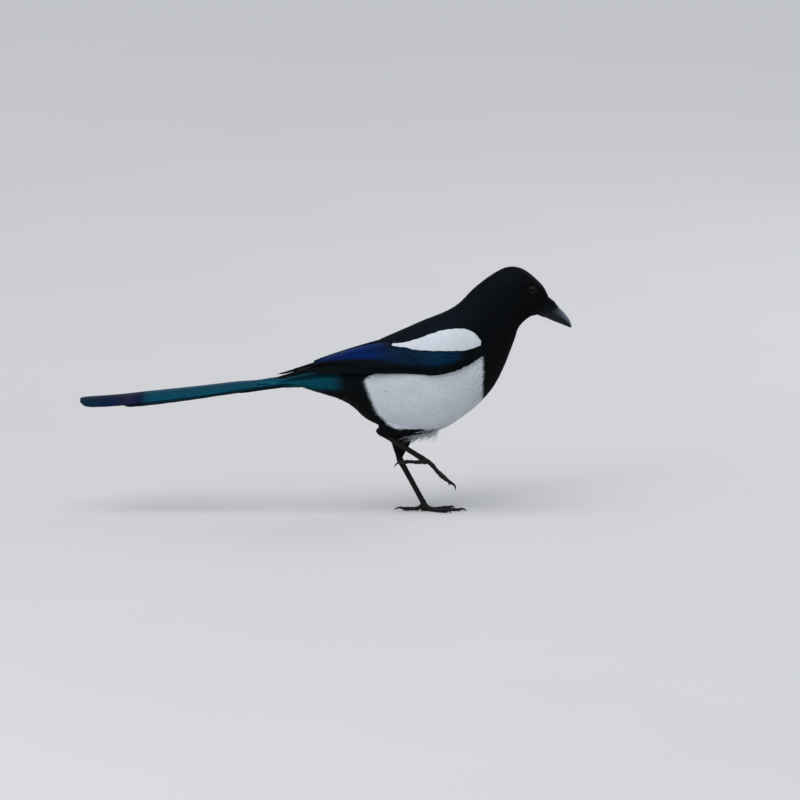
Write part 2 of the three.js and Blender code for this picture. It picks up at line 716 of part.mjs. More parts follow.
function toe(start, { yaw, lengths, claw }, pitches, clawPitches) {
  const points = [start.clone()];
  const step = (length, pitch) => {
    const level = Math.cos(radians(pitch)) * length;
    const drop = Math.sin(radians(pitch)) * length;
    const by = vec(level * Math.cos(radians(yaw)), level * Math.sin(radians(yaw)), -drop);
    points.push(points[points.length - 1].clone().add(by));
  };
  lengths.forEach((length, i) => step(length, pitches[i]));
  const radii = [2.3, 1.95, toeRadius, toeRadius * 0.86, toeRadius, toeRadius * 0.82];
  const knuckle = points.length - 1;
  const toePiece = tube(points, radii, 8, 0.9);
  const tip = points[knuckle].clone();
  points.length = 0;
  points.push(tip.clone());
  clawPitches.forEach((pitch) => step(claw / clawPitches.length, pitch));
  const clawPiece = tube(points, [1.35, 1.15, 0.8, 0.3], 6, 0.75);
  return [toePiece, clawPiece];
}

function footSolid(side) {
  const start = vec(...legs[side].foot);
  const onGround = side === "left";
  const inward = onGround ? -1 : 1;
  const pieces = Object.entries(toeSet).flatMap(([name, plan]) => {
    const hind = name === "hind";
    const turned = { ...plan, yaw: hind ? plan.yaw : inward * plan.yaw * (onGround ? 1 : 0.6) };
    const pitches = onGround ? groundPitches : hind ? [30, 4, -6, 0, 6] : liftedPitches;
    const clawPitches = onGround ? (hind ? [-18, 10, 30] : [-20, 12, 34]) : hind ? [2, 30, 60] : [30, 62, 88];
    return toe(start, turned, pitches, clawPitches);
  });
  const pad = ball(start.clone().add(vec(0.4, 0, onGround ? -4.1 : -1.4)), 3.2, vec(1.1, 0.95, 0.95), 12);
  const foot = joined([...pieces, pad]).subtract(shankSolid(legs[side], seam));
  return largest(onGround ? foot.trimByPlane([0, 0, 1], 0) : foot);
}

// Assembly
const finishes = {
  blackPlumage: { color: 0x0b0d10, roughness: 0.6 },
  whitePlumage: { color: 0xe8ecee, roughness: 0.8 },
  wingBlue: { color: 0x0a2a66, roughness: 0.35, metalness: 0.2 },
  tailGreen: { color: 0x115560, roughness: 0.35, metalness: 0.2 },
  billHorn: { color: 0x2c3036, roughness: 0.35 },
  legSkin: { color: 0x1d1e20, roughness: 0.6 },
  eyeDark: { color: 0x120d0a, roughness: 0.08 },
};

function meshOf(name, solid, finish) {
  const { numProp, vertProperties, triVerts } = solid.getMesh();
  const position = new Float32Array((vertProperties.length / numProp) * 3);
  for (let i = 0; i < position.length / 3; i++) {
    position.set(vertProperties.subarray(i * numProp, i * numProp + 3), i * 3);
  }
  const geometry = new THREE.BufferGeometry();
  geometry.setAttribute("position", new THREE.BufferAttribute(position, 3));
  geometry.setIndex(new THREE.BufferAttribute(new Uint32Array(triVerts), 1));
  geometry.computeVertexNormals();
  const mesh = new THREE.Mesh(geometry, new THREE.MeshStandardMaterial(finishes[finish]));
  mesh.name = name;
  return mesh;
}

const magpie = new THREE.Group();
magpie.name = "magpie";
const add = (name, solid, finish) => magpie.add(meshOf(name, solid, finish));

const billUpper = billSolid(culmen, mouthLine, 1);
const billLower = billSolid(gonys, mouthLine, -1);
const { wing, shoulder } = wings();
const shanks = { left: shankSolid(legs.left), right: shankSolid(legs.right) };
const thighs = {
  left: thighSolid(legs.left).subtract(bodyClearance).subtract(shankSolid(legs.left, seam)),
  right: thighSolid(legs.right).subtract(bodyClearance).subtract(shankSolid(legs.right, seam)),
};
const parts = bodyParts();

add("head", finishHead(parts.head, billUpper, billLower), "blackPlumage");
add("bill_upper", billUpper, "billHorn");
add("bill_lower", billLower, "billHorn");
add("eye_left", ball(eyeCentre(1), eyeRadius, vec(1, 1, 1), 16), "eyeDark");
add("eye_right", ball(eyeCentre(-1), eyeRadius, vec(1, 1, 1), 16), "eyeDark");
add("neck", largest(parts.neck), "blackPlumage");
add("breast", largest(parts.breast), "blackPlumage");
add("back", largest(parts.back), "blackPlumage");
add("belly", largest(parts.belly), "whitePlumage");
add("vent", largest(parts.vent), "blackPlumage");
add("wing_left", wing, "wingBlue");
add("wing_right", mirrored(wing), "wingBlue");
add("scapulars_left", shoulder, "whitePlumage");
add("scapulars_right", mirrored(shoulder), "whitePlumage");
add("tail", tailSolid(), "tailGreen");
for (const side of ["left", "right"]) {
  add(`thigh_${side}`, largest(thighs[side]), "blackPlumage");
  add(`shank_${side}`, shanks[side], "legSkin");
  add(`foot_${side}`, footSolid(side), "legSkin");
}

export default magpie;
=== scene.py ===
import math

import bpy
import numpy as np
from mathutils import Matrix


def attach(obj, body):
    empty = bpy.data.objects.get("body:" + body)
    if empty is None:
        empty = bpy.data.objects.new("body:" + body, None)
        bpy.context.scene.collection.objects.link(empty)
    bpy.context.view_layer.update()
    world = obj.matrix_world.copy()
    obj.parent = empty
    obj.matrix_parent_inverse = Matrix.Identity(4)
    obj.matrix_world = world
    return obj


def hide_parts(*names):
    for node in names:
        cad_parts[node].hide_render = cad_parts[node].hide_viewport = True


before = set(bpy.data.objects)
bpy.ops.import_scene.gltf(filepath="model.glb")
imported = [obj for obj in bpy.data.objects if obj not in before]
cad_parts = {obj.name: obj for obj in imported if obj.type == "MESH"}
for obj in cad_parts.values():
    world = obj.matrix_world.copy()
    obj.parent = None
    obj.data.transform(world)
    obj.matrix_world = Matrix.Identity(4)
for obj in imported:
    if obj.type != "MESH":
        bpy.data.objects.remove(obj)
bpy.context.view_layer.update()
print("frame loaded:", len(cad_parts), "solids")

mm = 0.001
rng = np.random.default_rng(11)


# Numbers and vectors
def unit(v):
    return v / np.maximum(np.linalg.norm(v, axis=-1, keepdims=True), 1e-9)


def dot(a, b):
    return np.sum(a * b, axis=-1)


def mix(a, b, t):
    return a + (b - a) * t


def ease(low, high, value):
    t = np.clip((value - low) / (high - low), 0, 1)
    return t * t * (3 - 2 * t)


def point(x, y, z):
    return np.stack(np.broadcast_arrays(x, y, z), axis=-1).astype(float)


# A smooth curve through rows of [place, value, value, ...], for arrays of places
def curveThrough(rows):
    table = np.array(rows, float)
    places, values = table[:, 0], table[:, 1:]
    before = np.maximum(np.arange(len(table)) - 1, 0)
    after = np.minimum(np.arange(len(table)) + 1, len(table) - 1)
    slopes = (values[after] - values[before]) / (places[after] - places[before])[:, None]

    def at(place):
        place = np.asarray(place, float)
        i = np.clip(np.searchsorted(places, place, side="right") - 1, 0, len(places) - 2)
        step = (places[i + 1] - places[i])[..., None]
        s = (place[..., None] - places[i][..., None]) / step
        t = np.clip(s, 0, 1)
        inside = mix(values[i], values[i + 1], t * t * (3 - 2 * t))
        inside += t * (1 - t) ** 2 * step * slopes[i] + t * t * (t - 1) * step * slopes[i + 1]
        return inside + np.minimum(s, 0) * step * slopes[i] + np.maximum(s - 1, 0) * step * slopes[i + 1]

    return at


def lineThrough(rows):
    # the same through rows of [place, value], for plain numbers
    curve = curveThrough(rows)
    return lambda place: curve(place)[..., 0]


def softRandom(points, size, seed):
    # a smooth random number from -1 to 1 that changes over about that size
    draw = np.random.default_rng(seed)
    total = 0
    for _ in range(5):
        direction = unit(draw.normal(size=3))
        total = total + np.sin(points @ direction * (2.2 / size) + draw.uniform(0, 6.3))
    return total / 5


# Mesh making: faces are index arrays of one row length each, and every array is filled at once
def addObject(name, data):
    made = bpy.data.objects.new(name, data)
    bpy.context.scene.collection.objects.link(made)
    return made


def paintPoints(mesh, values):
    # numbers at every point, which the materials read
    for label, data in values.items():
        kind, field = ("FLOAT", "value") if data.ndim == 1 else ("FLOAT_VECTOR", "vector")
        mesh.attributes.new(label, kind, "POINT").data.foreach_set(field, data.astype(np.float32).ravel())


def makeMesh(name, points, faceGroups, values=None, normals=None, bake=None):
    mesh = bpy.data.meshes.new(name)
    mesh.vertices.add(len(points))
    mesh.vertices.foreach_set("co", (points * mm).astype(np.float32).ravel())
    corners = np.concatenate([faces.ravel() for faces in faceGroups])
    sizes = np.concatenate([np.full(len(faces), faces.shape[1]) for faces in faceGroups])
    mesh.loops.add(len(corners))
    mesh.loops.foreach_set("vertex_index", corners.astype(np.int32))
    mesh.polygons.add(len(sizes))
    mesh.polygons.foreach_set("loop_start", (np.cumsum(sizes) - sizes).astype(np.int32))
    mesh.polygons.foreach_set("use_smooth", np.ones(len(sizes), bool))
    mesh.update(calc_edges=True)
    paintPoints(mesh, values or {})
    if bake is not None:
        mesh.uv_layers.new(name="OFBake").uv.foreach_set("vector", bake.astype(np.float32).ravel())
    if normals is not None:
        mesh.normals_split_custom_set_from_vertices(normals.astype(np.float32))
    return addObject(name, mesh)


def finishPiece(piece, material, slot, *nodes):
    piece.data.materials.append(material)
    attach(piece, "root")
    if nodes:
        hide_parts(*nodes)
    piece.data.calc_loop_triangles()
    print(f"  {piece.name}: {len(piece.data.loop_triangles)} triangles")
    return piece


def gridFaces(rows, columns, closed=False, first=0, flip=False):
    across = columns if closed else columns - 1
    i, j = np.meshgrid(np.arange(rows - 1), np.arange(across), indexing="ij")
    a = i * columns + j
    b = i * columns + (j + 1) % columns
    faces = np.stack([a, b, b + columns, a + columns], axis=-1).reshape(-1, 4) + first
    return faces[:, ::-1] if flip else faces


def closedRings(rings):
    # a closed skin over rings of equal length, as points and faces
    rows, columns = rings.shape[:2]
    ends = np.array([rings[0].mean(axis=0), rings[-1].mean(axis=0)])
    points = np.concatenate([rings.reshape(-1, 3), ends])
    j = np.arange(columns)
    after = (j + 1) % columns
    first = np.stack([after, j, np.full(columns, rows * columns)], axis=-1)
    start = (rows - 1) * columns
    last = np.stack([start + j, start + after, np.full(columns, rows * columns + 1)], axis=-1)
    return points, [gridFaces(rows, columns, closed=True), np.concatenate([first, last])]


def joinShells(shells):
    # several closed shells as one list of points and faces
    points, quads, triangles, first = [], [], [], 0
    for shellPoints, faceGroups in shells:
        points.append(shellPoints)
        for faces in faceGroups:
            (quads if faces.shape[1] == 4 else triangles).append(faces + first)
        first += len(shellPoints)
    groups = [np.concatenate(group) for group in (quads, triangles) if group]
    return np.concatenate(points), groups


# Materials: each is one shader, and these add nodes that lead to it
def newMaterial(name, **sockets):
    material = bpy.data.materials.new(name)
    material.use_nodes = True
    for socket, value in sockets.items():
        shaderOf(material).inputs[socket.replace("_", " ")].default_value = value
    return material


def shaderOf(material):
    return material.node_tree.nodes["Principled BSDF"]


def wire(material, socket, output):
    material.node_tree.links.new(output, shaderOf(material).inputs[socket])


def addNode(material, kind, inputs, **settings):
    made = material.node_tree.nodes.new(kind)
    for key, value in settings.items():
        setattr(made, key, value)
    for key, value in inputs.items():
        if isinstance(value, bpy.types.NodeSocket):
            material.node_tree.links.new(value, made.inputs[key])
        else:
            made.inputs[key].default_value = value
    return made


def reckon(material, operation, *numbers):
    return addNode(material, "ShaderNodeMath", dict(enumerate(numbers)), operation=operation).outputs[0]


def mapped(material, value, fromLow, fromHigh, low=0.0, high=1.0):
    numbers = (value, fromLow, fromHigh, low, high)
    return addNode(material, "ShaderNodeMapRange", dict(enumerate(numbers))).outputs[0]


def between(material, share, low, high):
    return mapped(material, share, 0.0, 1.0, low, high)


def blendColour(material, share, a, b, way="MIX"):
    inputs = {0: share, 6: a, 7: b}
    return addNode(material, "ShaderNodeMix", inputs, data_type="RGBA", blend_type=way).outputs[2]


def attributeOf(material, name, output="Fac"):
    return addNode(material, "ShaderNodeAttribute", {}, attribute_name=name).outputs[output]


def positionOf(material):
    return addNode(material, "ShaderNodeNewGeometry", {}).outputs["Position"]


def noiseOf(material, scale, detail=3.0):
    inputs = {"Vector": positionOf(material), "Scale": scale, "Detail": detail}
    return addNode(material, "ShaderNodeTexNoise", inputs).outputs["Fac"]


def bumpOf(material, height, strength, distance):
    inputs = {"Height": height, "Strength": strength, "Distance": distance}
    wire(material, "Normal", addNode(material, "ShaderNodeBump", inputs).outputs["Normal"])


# Feathers: hue runs from teal at 0 over blue at 0.5 to purple at 1, and shows where there is gloss
plumageLook = {
    "black": (0.0016, 0.002, 0.0024, 1),
    "white": (0.6, 0.645, 0.69, 1),
    "blue": (0.0002, 0.014, 0.12, 1),
    "teal": (0.0006, 0.07, 0.096, 1),
    "purple": (0.02, 0.015, 0.05, 1),
    "barbEvery": 0.34,
    "barbSlant": 0.8,
    "barbDepth": 0.00006,
    "patchy": (0.86, 1.12),
    "grainy": (0.93, 1.07),
    "soft": {"rough": (0.6, 0.42), "metal": 0.35, "barbs": 0.35, "specular": 0.07, "tint": (0.75, 0.9, 1, 1)},
    "glossy": {"rough": (0.5, 0.36), "metal": 0.6, "barbs": 0.55, "specular": 0.05, "tint": (0.6, 0.8, 1, 1)},
}


def plumageMaterial(name, kind):
    look, finish = plumageLook, plumageLook[kind]
    material = newMaterial(name, Specular_IOR_Level=finish["specular"], Specular_Tint=finish["tint"])
    white, gloss, hue, tone = (attributeOf(material, key) for key in ("white", "gloss", "hue", "tone"))
    colour = blendColour(material, mapped(material, hue, 0.0, 0.5), look["teal"], look["blue"])
    colour = blendColour(material, mapped(material, hue, 0.5, 1.0), colour, look["purple"])
    colour = blendColour(material, gloss, look["black"], colour)
    colour = blendColour(material, white, colour, look["white"])
    grain, patches = noiseOf(material, 900.0, 2.0), noiseOf(material, 60.0)
    shade = reckon(material, "MULTIPLY", tone, between(material, patches, *look["patchy"]))
    shade = reckon(material, "MULTIPLY", shade, between(material, grain, *look["grainy"]))
    grey = addNode(material, "ShaderNodeCombineXYZ", {0: shade, 1: shade, 2: shade}).outputs[0]
    wire(material, "Base Color", blendColour(material, 1.0, colour, grey, "MULTIPLY"))
    wire(material, "Roughness", between(material, gloss, *finish["rough"]))
    wire(material, "Metallic", between(material, gloss, 0.0, finish["metal"]))
    # the barbs slant back from the shaft, as fine ridges
    barb = {0: attributeOf(material, "barb", "Vector")}
    along, out, _ = addNode(material, "ShaderNodeSeparateXYZ", barb).outputs
    slant = reckon(material, "MULTIPLY", reckon(material, "ABSOLUTE", out), look["barbSlant"])
    phase = reckon(material, "SUBTRACT", along, slant)
    turns = reckon(material, "MULTIPLY", phase, 2 * math.pi / look["barbEvery"])
    ridges = reckon(material, "MULTIPLY", reckon(material, "SINE", turns), 0.5)
    bumpOf(material, reckon(material, "ADD", ridges, grain), finish["barbs"], look["barbDepth"])
    return material


# The body as a surface: place runs over the sections from the bill back, and angle is 0 on the back,
# 90 on the left side and 180 on the belly. Rows: back x, back z, belly x, belly z, half width, fullness.
bodySections = [
    [110, 189.8, 99.9, 174.8, 7.2, 2.3],  # base of the bill
    [103.4, 201.4, 92.4, 173, 12.6, 2.7],  # eyes
    [88, 214.5, 83.6, 164.6, 15.8, 2.7],  # crown
    [73.9, 217, 79.6, 153.3, 17.6, 2.5],  # cheeks
    [59.8, 210.4, 75.7, 142.6, 19, 2.3],  # nape
    [44, 198.3, 70.4, 129.2, 21.5, 2.2],  # throat
    [30.4, 184.6, 62, 112.7, 26, 2.2],  # base of the neck
    [17.6, 176.9, 50.2, 98.3, 30.2, 2.2],  # shoulders
    [0, 169.8, 33.4, 84.2, 32.6, 2.2],  # chest
    [-19.4, 161.2, 11.4, 72, 32.8, 2.2],  # flanks
    [-40.5, 151.8, -18.5, 70, 29, 2.2],  # thighs
    [-63.4, 139.5, -48.4, 81.5, 22, 2.2],  # vent
    [-74, 133.6, -61.4, 92.6, 18.6, 2.2],  # under the tail
    [-84.5, 127.8, -73.9, 100, 15.5, 2.2],  # rump
    [-103.8, 122.2, -101.2, 108.7, 10.5, 2.2],  # tail coverts
]
bodyEnd = len(bodySections) - 1
bodyCurve = curveThrough([[i, *section] for i, section in enumerate(bodySections)])


def bodyPoint(place, angle, grow=0):
    backX, backZ, bellyX, bellyZ, half, full = np.moveaxis(bodyCurve(place), -1, 0)
    tall = np.hypot(backX - bellyX, backZ - bellyZ) / 2
    c, s = np.cos(np.radians(angle)), np.sin(np.radians(angle))
    up = np.sign(c) * np.abs(c) ** (2 / full) * (tall + grow) / tall
    side = np.sign(s) * np.abs(s) ** (2 / full) * (half + grow)
    x, z = mix((backX + bellyX) / 2, backX, up), mix((backZ + bellyZ) / 2, backZ, up)
    return point(x, side + s * faceRelief(x, z), z)


# Swellings and hollows of the face, seen from the side: x, z, reach along and up, height
facePlan = [
    [93, 205, 7.5, 2.0, 0.7],  # brow
    [103, 194, 4, 3.5, -0.8],  # in front of the eye
    [90, 191.5, 6, 2.0, -0.5],  # under the eye
    [82, 186, 8, 6, 0.8],  # ear coverts
    [97, 178, 7, 3, 0.4],  # chin
]


def faceRelief(x, z):
    total = 0
    for atX, atZ, reachX, reachZ, height in facePlan:
        total = total + height * np.exp(-((x - atX) / reachX) ** 2 - ((z - atZ) / reachZ) ** 2)
    return total


def bodySide(x, z):
    # how far out the body's side is at a point seen from the side
    low, high = 0.0, float(bodyEnd)
    for _ in range(40):
        place = (low + high) / 2
        backX, backZ, bellyX, bellyZ, half, full = bodyCurve(place)
        if (x - bellyX) * (backZ - bellyZ) > (z - bellyZ) * (backX - bellyX):
            high = place
        else:
            low = place
    up = (x - bellyX) * (backX - bellyX) + (z - bellyZ) * (backZ - bellyZ)
    up /= (backX - bellyX) ** 2 + (backZ - bellyZ) ** 2
    return half * max(0, 1 - abs(2 * up - 1) ** full) ** (1 / full)


def bodyFacing(x, z):
    d = 0.6
    ahead = bodySide(x - d, z) - bodySide(x + d, z)
    upward = bodySide(x, z - d) - bodySide(x, z + d)
    return unit(np.array([ahead, 2 * d, upward]))


# Markings, as numbers from 0 to 1 at points of the body
markings = {
    "bellyRear": [[70, 6], [74, -10], [76, -22], [79, -30], [85, -36.5], [91, -41.5], [107, -48],
                  [119, -52], [123, -49], [127, -42], [140, -34]],
    "bellyTop": [[-60, 152], [30, 150], [44, 144], [51, 141], [60, 138]],
    "bellyFront": 51.5,
    "edge": 1.2,
}
bellyRear, bellyTop = lineThrough(markings["bellyRear"]), lineThrough(markings["bellyTop"])


def whiteAt(points):
    x, z = points[..., 0], points[..., 2]
    inside = np.minimum(x - bellyRear(z), markings["bellyFront"] - x)
    inside = np.minimum(inside, bellyTop(x) - z)
    return ease(-markings["edge"], markings["edge"], inside)


def tealAt(points):
    # green gloss on the rump and the tail coverts
    x, z = points[..., 0], points[..., 2]
    return ease(-68, -84, x) * ease(107, 113, z)


# Legs: joints as [x, y, z], how flat the thigh is, and its radius from hip to ankle
legs = {
    "left": {
        "hip": [-13, 14, 86], "knee": [-18.5, 12.5, 72], "shin": [-20.6, 9.2, 59], "ankle": [-21.8, 5.5, 46],
        "foot": [0, 0, 6.5], "flat": 0.7,
        "radii": [[0, 15], [0.33, 14.5], [0.45, 12], [0.56, 9.6], [0.67, 7.8], [0.8, 5.6], [0.92, 3.6],
                  [1, 2.1]],
    },
    "right": {
        "hip": [8, -8, 92], "knee": [-6, -11.4, 79.5], "shin": [-23.5, -13.4, 78],
        "ankle": [-39.6, -15.5, 73.6], "foot": [0, -13.5, 48], "flat": 0.76,
        "radii": [[0, 10], [0.33, 9.6], [0.6, 9.2], [0.78, 8.6], [0.9, 7.2], [0.97, 5], [1, 2.8]],
    },
}


def smoothPath(corners):
    # a path through corners, for shares from 0 to 1
    corners = np.array(corners, float)
    return curveThrough([[i / (len(corners) - 1), *corner] for i, corner in enumerate(corners)])


def tubePoint(path, radius, sideways, share, angle, grow=0):
    # a point of a tube along a path, which sideways makes narrower or wider from left to right
    along = unit(path(share + 0.01) - path(share - 0.01))
    lateral = unit(np.array([0.0, 1.0, 0.0]) - along * along[..., 1:2])
    upward = np.cross(lateral, along)
    out = (radius(share) + grow)[..., None]
    turn = np.radians(angle)[..., None]
    return path(share) + lateral * out * sideways * np.cos(turn) + upward * out * np.sin(turn)


def thighSurface(leg, grow=0):
    path = smoothPath([leg[joint] for joint in ("hip", "knee", "shin", "ankle")])
    radii = lineThrough(leg["radii"])
    radius = lambda share: radii(np.clip(share, 0, 1))
    return lambda share, angle: tubePoint(path, radius, leg["flat"], share, angle, grow)


# One skin under the whole coat, without seams
skinPlan = {
    "body": (150, 96), "thigh": (30, 40), "thighDepth": 1.1, "voxel": 1.3, "smooth": (0.5, 6),
    "gloss": 0.7, "tone": 0.9,
}
coatDepth = lineThrough([[0, 0.5], [2, 0.9], [4, 1.3], [7, 1.8], [10, 2.2], [13, 1.8], [14, 1.2]])


def ringGrid(end, rings, around):
    # places from 0 to the end and angles all round, as two grids
    return np.meshgrid(np.linspace(0, end, rings), np.linspace(0, 360, around, endpoint=False), indexing="ij")


def makeSkin():
    plan = skinPlan
    places, angles = ringGrid(bodyEnd, *plan["body"])
    shells = [closedRings(bodyPoint(places, angles, -coatDepth(places))[:, ::-1])]
    shells += [closedRings(thighSurface(leg, -plan["thighDepth"])(*ringGrid(1, *plan["thigh"])))
               for leg in legs.values()]
    skin = makeMesh("skin", *joinShells(shells))
    remesh = skin.modifiers.new("fuse", "REMESH")
    remesh.mode, remesh.voxel_size, remesh.use_smooth_shade = "VOXEL", plan["voxel"] * mm, True
    smooth = skin.modifiers.new("smooth", "SMOOTH")
    smooth.factor, smooth.iterations = plan["smooth"]
    fused = bpy.data.meshes.new_from_object(skin.evaluated_get(bpy.context.evaluated_depsgraph_get()))
    skin.modifiers.clear()
    skin.data = fused
    points = np.zeros(len(fused.vertices) * 3, np.float32)
    fused.vertices.foreach_get("co", points)
    points = points.reshape(-1, 3) / mm
    level = np.ones(len(points))
    paintPoints(fused, {"white": whiteAt(points), "gloss": plan["gloss"] * tealAt(points), "hue": 0 * level,
                        "tone": plan["tone"] * level})
    return skin


softPlumage = plumageMaterial("softPlumage", "soft")
finishPiece(makeSkin(), softPlumage, "black_plumage", "head", "neck", "breast", "back", "belly", "vent",
            "thigh_left", "thigh_right")
print("skin made")


# Small feathers: each is a thin closed vane of a few rings, laid along a surface from its root
def surfaceFrame(surface, u, v, step):
    here = surface(u, v)
    along = (surface(u + step[0], v) - surface(u - step[0], v)) / (2 * step[0])
    around = (surface(u, v + step[1]) - surface(u, v - step[1])) / (2 * step[1])
    return here, unit(np.cross(around, along)), along, around


evenSteps = (0.7548776662, 0.5698402910)  # steps that spread points evenly over a square


def scatterRoots(surface, uRange, vRange, count, step, density=None, seed=1):
    # evenly spread places over a surface, closer together where density says
    draw = np.random.default_rng(seed)
    n = np.arange(count * 6)
    u, v = (mix(*span, (0.5 + n * even) % 1) for span, even in zip((uRange, vRange), evenSteps))
    _, _, along, around = surfaceFrame(surface, u, v, step)
    weight = np.linalg.norm(np.cross(around, along), axis=-1)
    if density is not None:
        weight = weight * density(u, v)
    keep = draw.uniform(size=len(n)) < weight * (count / weight.sum())
    return u[keep], v[keep]


vaneRings = np.array([0.0, 0.3, 0.6, 0.86, 1.0])
vaneWidths = np.array([0.5, 0.92, 1.0, 0.7, 0.14])


def layVanes(surface, u, v, step, length, width, yaw, lift, sink, curl, thick=0.1, spread=0.4):
    # ring by ring along the surface: left edge, middle and right edge of every vane
    _, normal, along, around = surfaceFrame(surface, u, v, step)
    ahead = unit(along)
    sideways = unit(around - ahead * dot(around, ahead)[:, None])
    lie = ahead * np.cos(yaw)[:, None] + sideways * np.sin(yaw)[:, None]
    perV = dot(lie, sideways) / dot(around, sideways)
    perU = (dot(lie, ahead) - perV * dot(around, ahead)) / np.linalg.norm(along, axis=-1)
    reach = length[:, None] * vaneRings
    ringU, ringV = u[:, None] + perU[:, None] * reach, v[:, None] + perV[:, None] * reach
    centre, facing, _, _ = surfaceFrame(surface, ringU, ringV, step)
    facing = np.where((dot(facing, normal[:, None]) < 0)[..., None], -facing, facing)
    side = unit(np.cross(facing, unit(np.gradient(centre, axis=1))))
    rise = mix(-(sink + 0 * u)[:, None], lift[:, None], vaneRings ** 0.75) + curl[:, None] * vaneRings ** 3
    half = (width[:, None] * vaneWidths / 2)[..., None]
    middle = centre + facing * rise[..., None]
    droop = facing * (thick + 0.12 * half)
    turned = side * (spread + 0 * u)[:, None, None]
    return {
        "columns": np.stack([middle + side * half - droop, middle, middle - side * half - droop], axis=2),
        "shading": np.stack([unit(facing + turned), facing, unit(facing - turned)], axis=2),
        "along": reach, "half": half[..., 0],
    }


def inUnit(share):
    # a share of a surface as a place on its unwrap, clear of the edges
    return 0.02 + 0.95 * share


def coloured(laid, unwrap, tone, white=0, gloss=0, hue=0.3):
    # adds what the material reads and each root's place on the unwrap
    ring = np.ones_like(laid["along"])
    return {**laid, "white": white * ring, "gloss": gloss * ring, "hue": hue * ring[:, 0], "tone": tone,
            "shift": rng.uniform(0, 9, len(ring)), "unwrap": np.stack(unwrap, axis=-1)}


def chosen(batch, keep):
    return {key: value[keep] for key, value in batch.items()}


bakePatch = 0.003  # how wide each vane's patch of the unwrap is


def vaneMesh(name, batch, slot):
    # one piece of many vanes: every three points are a ring, and every vane has its own patch for the bake
    count, rings = batch["along"].shape
    stack = rings * 3
    wall = [[0, 1, 4, 3], [1, 2, 5, 4], [2, 0, 3, 5]]
    walls = np.array([[a + corner for corner in face] for a in range(0, stack - 3, 3) for face in wall])
    caps = np.array([[2, 1, 0], [stack - 3, stack - 2, stack - 1]])
    first = (np.arange(count) * stack)[:, None, None]
    quads, triangles = (walls + first).reshape(-1, 4), (caps + first).reshape(-1, 3)
    values = {key: np.repeat(batch[key], stack) for key in ("hue", "tone")}
    values |= {key: np.repeat(batch[key].ravel(), 3) for key in ("white", "gloss")}
    along = batch["along"][..., None].repeat(3, 2) + batch["shift"][:, None, None]
    out = batch["half"][..., None] * np.array([-1, 0, 1])
    values["barb"] = point(along.ravel(), out.ravel(), 0)
    alongShare = vaneRings.repeat(3)
    upper, under = np.array([0.0, 0.35, 0.7] * rings), np.array([1.0, 0.9, 0.75] * rings)
    isUnder = (np.arange(len(walls)) % 3 == 2)[:, None]
    wallUv = np.stack([np.where(isUnder, under[walls], upper[walls]), alongShare[walls]], axis=-1)
    capUv = np.stack([under[caps], alongShare[caps] * 0.9 + 0.05 * (caps % 3)], axis=-1)
    root = batch["unwrap"][:, None, None, :]
    bake = np.concatenate([(root + uv * bakePatch).reshape(-1, 2) for uv in (wallUv, capUv)])
    piece = makeMesh(name, batch["columns"].reshape(-1, 3), [quads, triangles], values,
                     batch["shading"].reshape(-1, 3), bake)
    finishPiece(piece, softPlumage, slot)


# The coat of the body: length, width and crowding of its feathers from the bill back
coatPlan = {
    "length": [[0, 2.4], [1, 3.4], [2, 4.8], [3, 6.2], [4, 7.8], [5, 9.2], [6, 10.8], [8, 12.5], [10, 13.5],
               [14, 15]],
    "width": [[0, 0.5], [1, 0.66], [2, 0.9], [4, 1.4], [6, 1.95], [8, 2.25], [10, 2.35], [14, 2.7]],
    "crowd": [[0, 5], [1, 4], [2, 2.7], [3, 1.8], [4, 1.3], [5, 1.0], [6, 0.85], [8, 0.75], [14, 0.65]],
    "count": 44500,
    "whiter": 1.35,  # how much closer the white feathers stand
    "longer": 1.15,  # and how much longer they are
    "yawNoise": (6, 4.5),  # black, white
    "spread": (0.28, 0.1),
    "step": (0.02, 1.2),
    "rootDepth": 0.9,  # share of the way down to the skin
    "ragged": 0.35,  # how far aside a feather's colour is taken, so that markings have soft edges
    "rear": -112,
    "gape": 0.4,  # bare edge along the mouth
}
coatLength, coatWidth, coatCrowd = (lineThrough(coatPlan[key]) for key in ("length", "width", "crowd"))
eyePlan = {"spot": [95.4, 198.6], "sink": 2.7, "radius": 3.9, "bare": 4.3, "lid": (3.5, 3.1), "lidWidth": 0.7}
wingTop = lineThrough([[-101, 130.4], [-80, 138.4], [-58, 145.8], [-36, 151.4], [-14, 155.8], [8, 159],
                       [28, 160.5]])


def eyeCentre(left):
    facing = bodyFacing(*eyePlan["spot"])
    x, z = eyePlan["spot"]
    return (np.array([x, bodySide(x, z), z]) - facing * eyePlan["sink"]) * np.array([1, left, 1])


def hiddenByWing(points):
    x, y, z = points[..., 0], np.abs(points[..., 1]), points[..., 2]
    return (x > -92) & (x < 36) & (z > 131.5) & (z < wingTop(x) - 5) & (y > 3)


def gapeDistance(points):
    # how far points are from the mouth's line on the cheek, seen from the side
    back, front = np.array([91.5, 186.3]), np.array([106, 181.2])
    flat = points[..., [0, 2]]
    share = np.clip(dot(flat - back, front - back) / dot(front - back, front - back), 0, 1)
    return np.linalg.norm(flat - back - share[..., None] * (front - back), axis=-1)


def bodyUnwrap(place, angle):
    return inUnit(place / bodyEnd), inUnit((angle + 180) % 360 / 360)


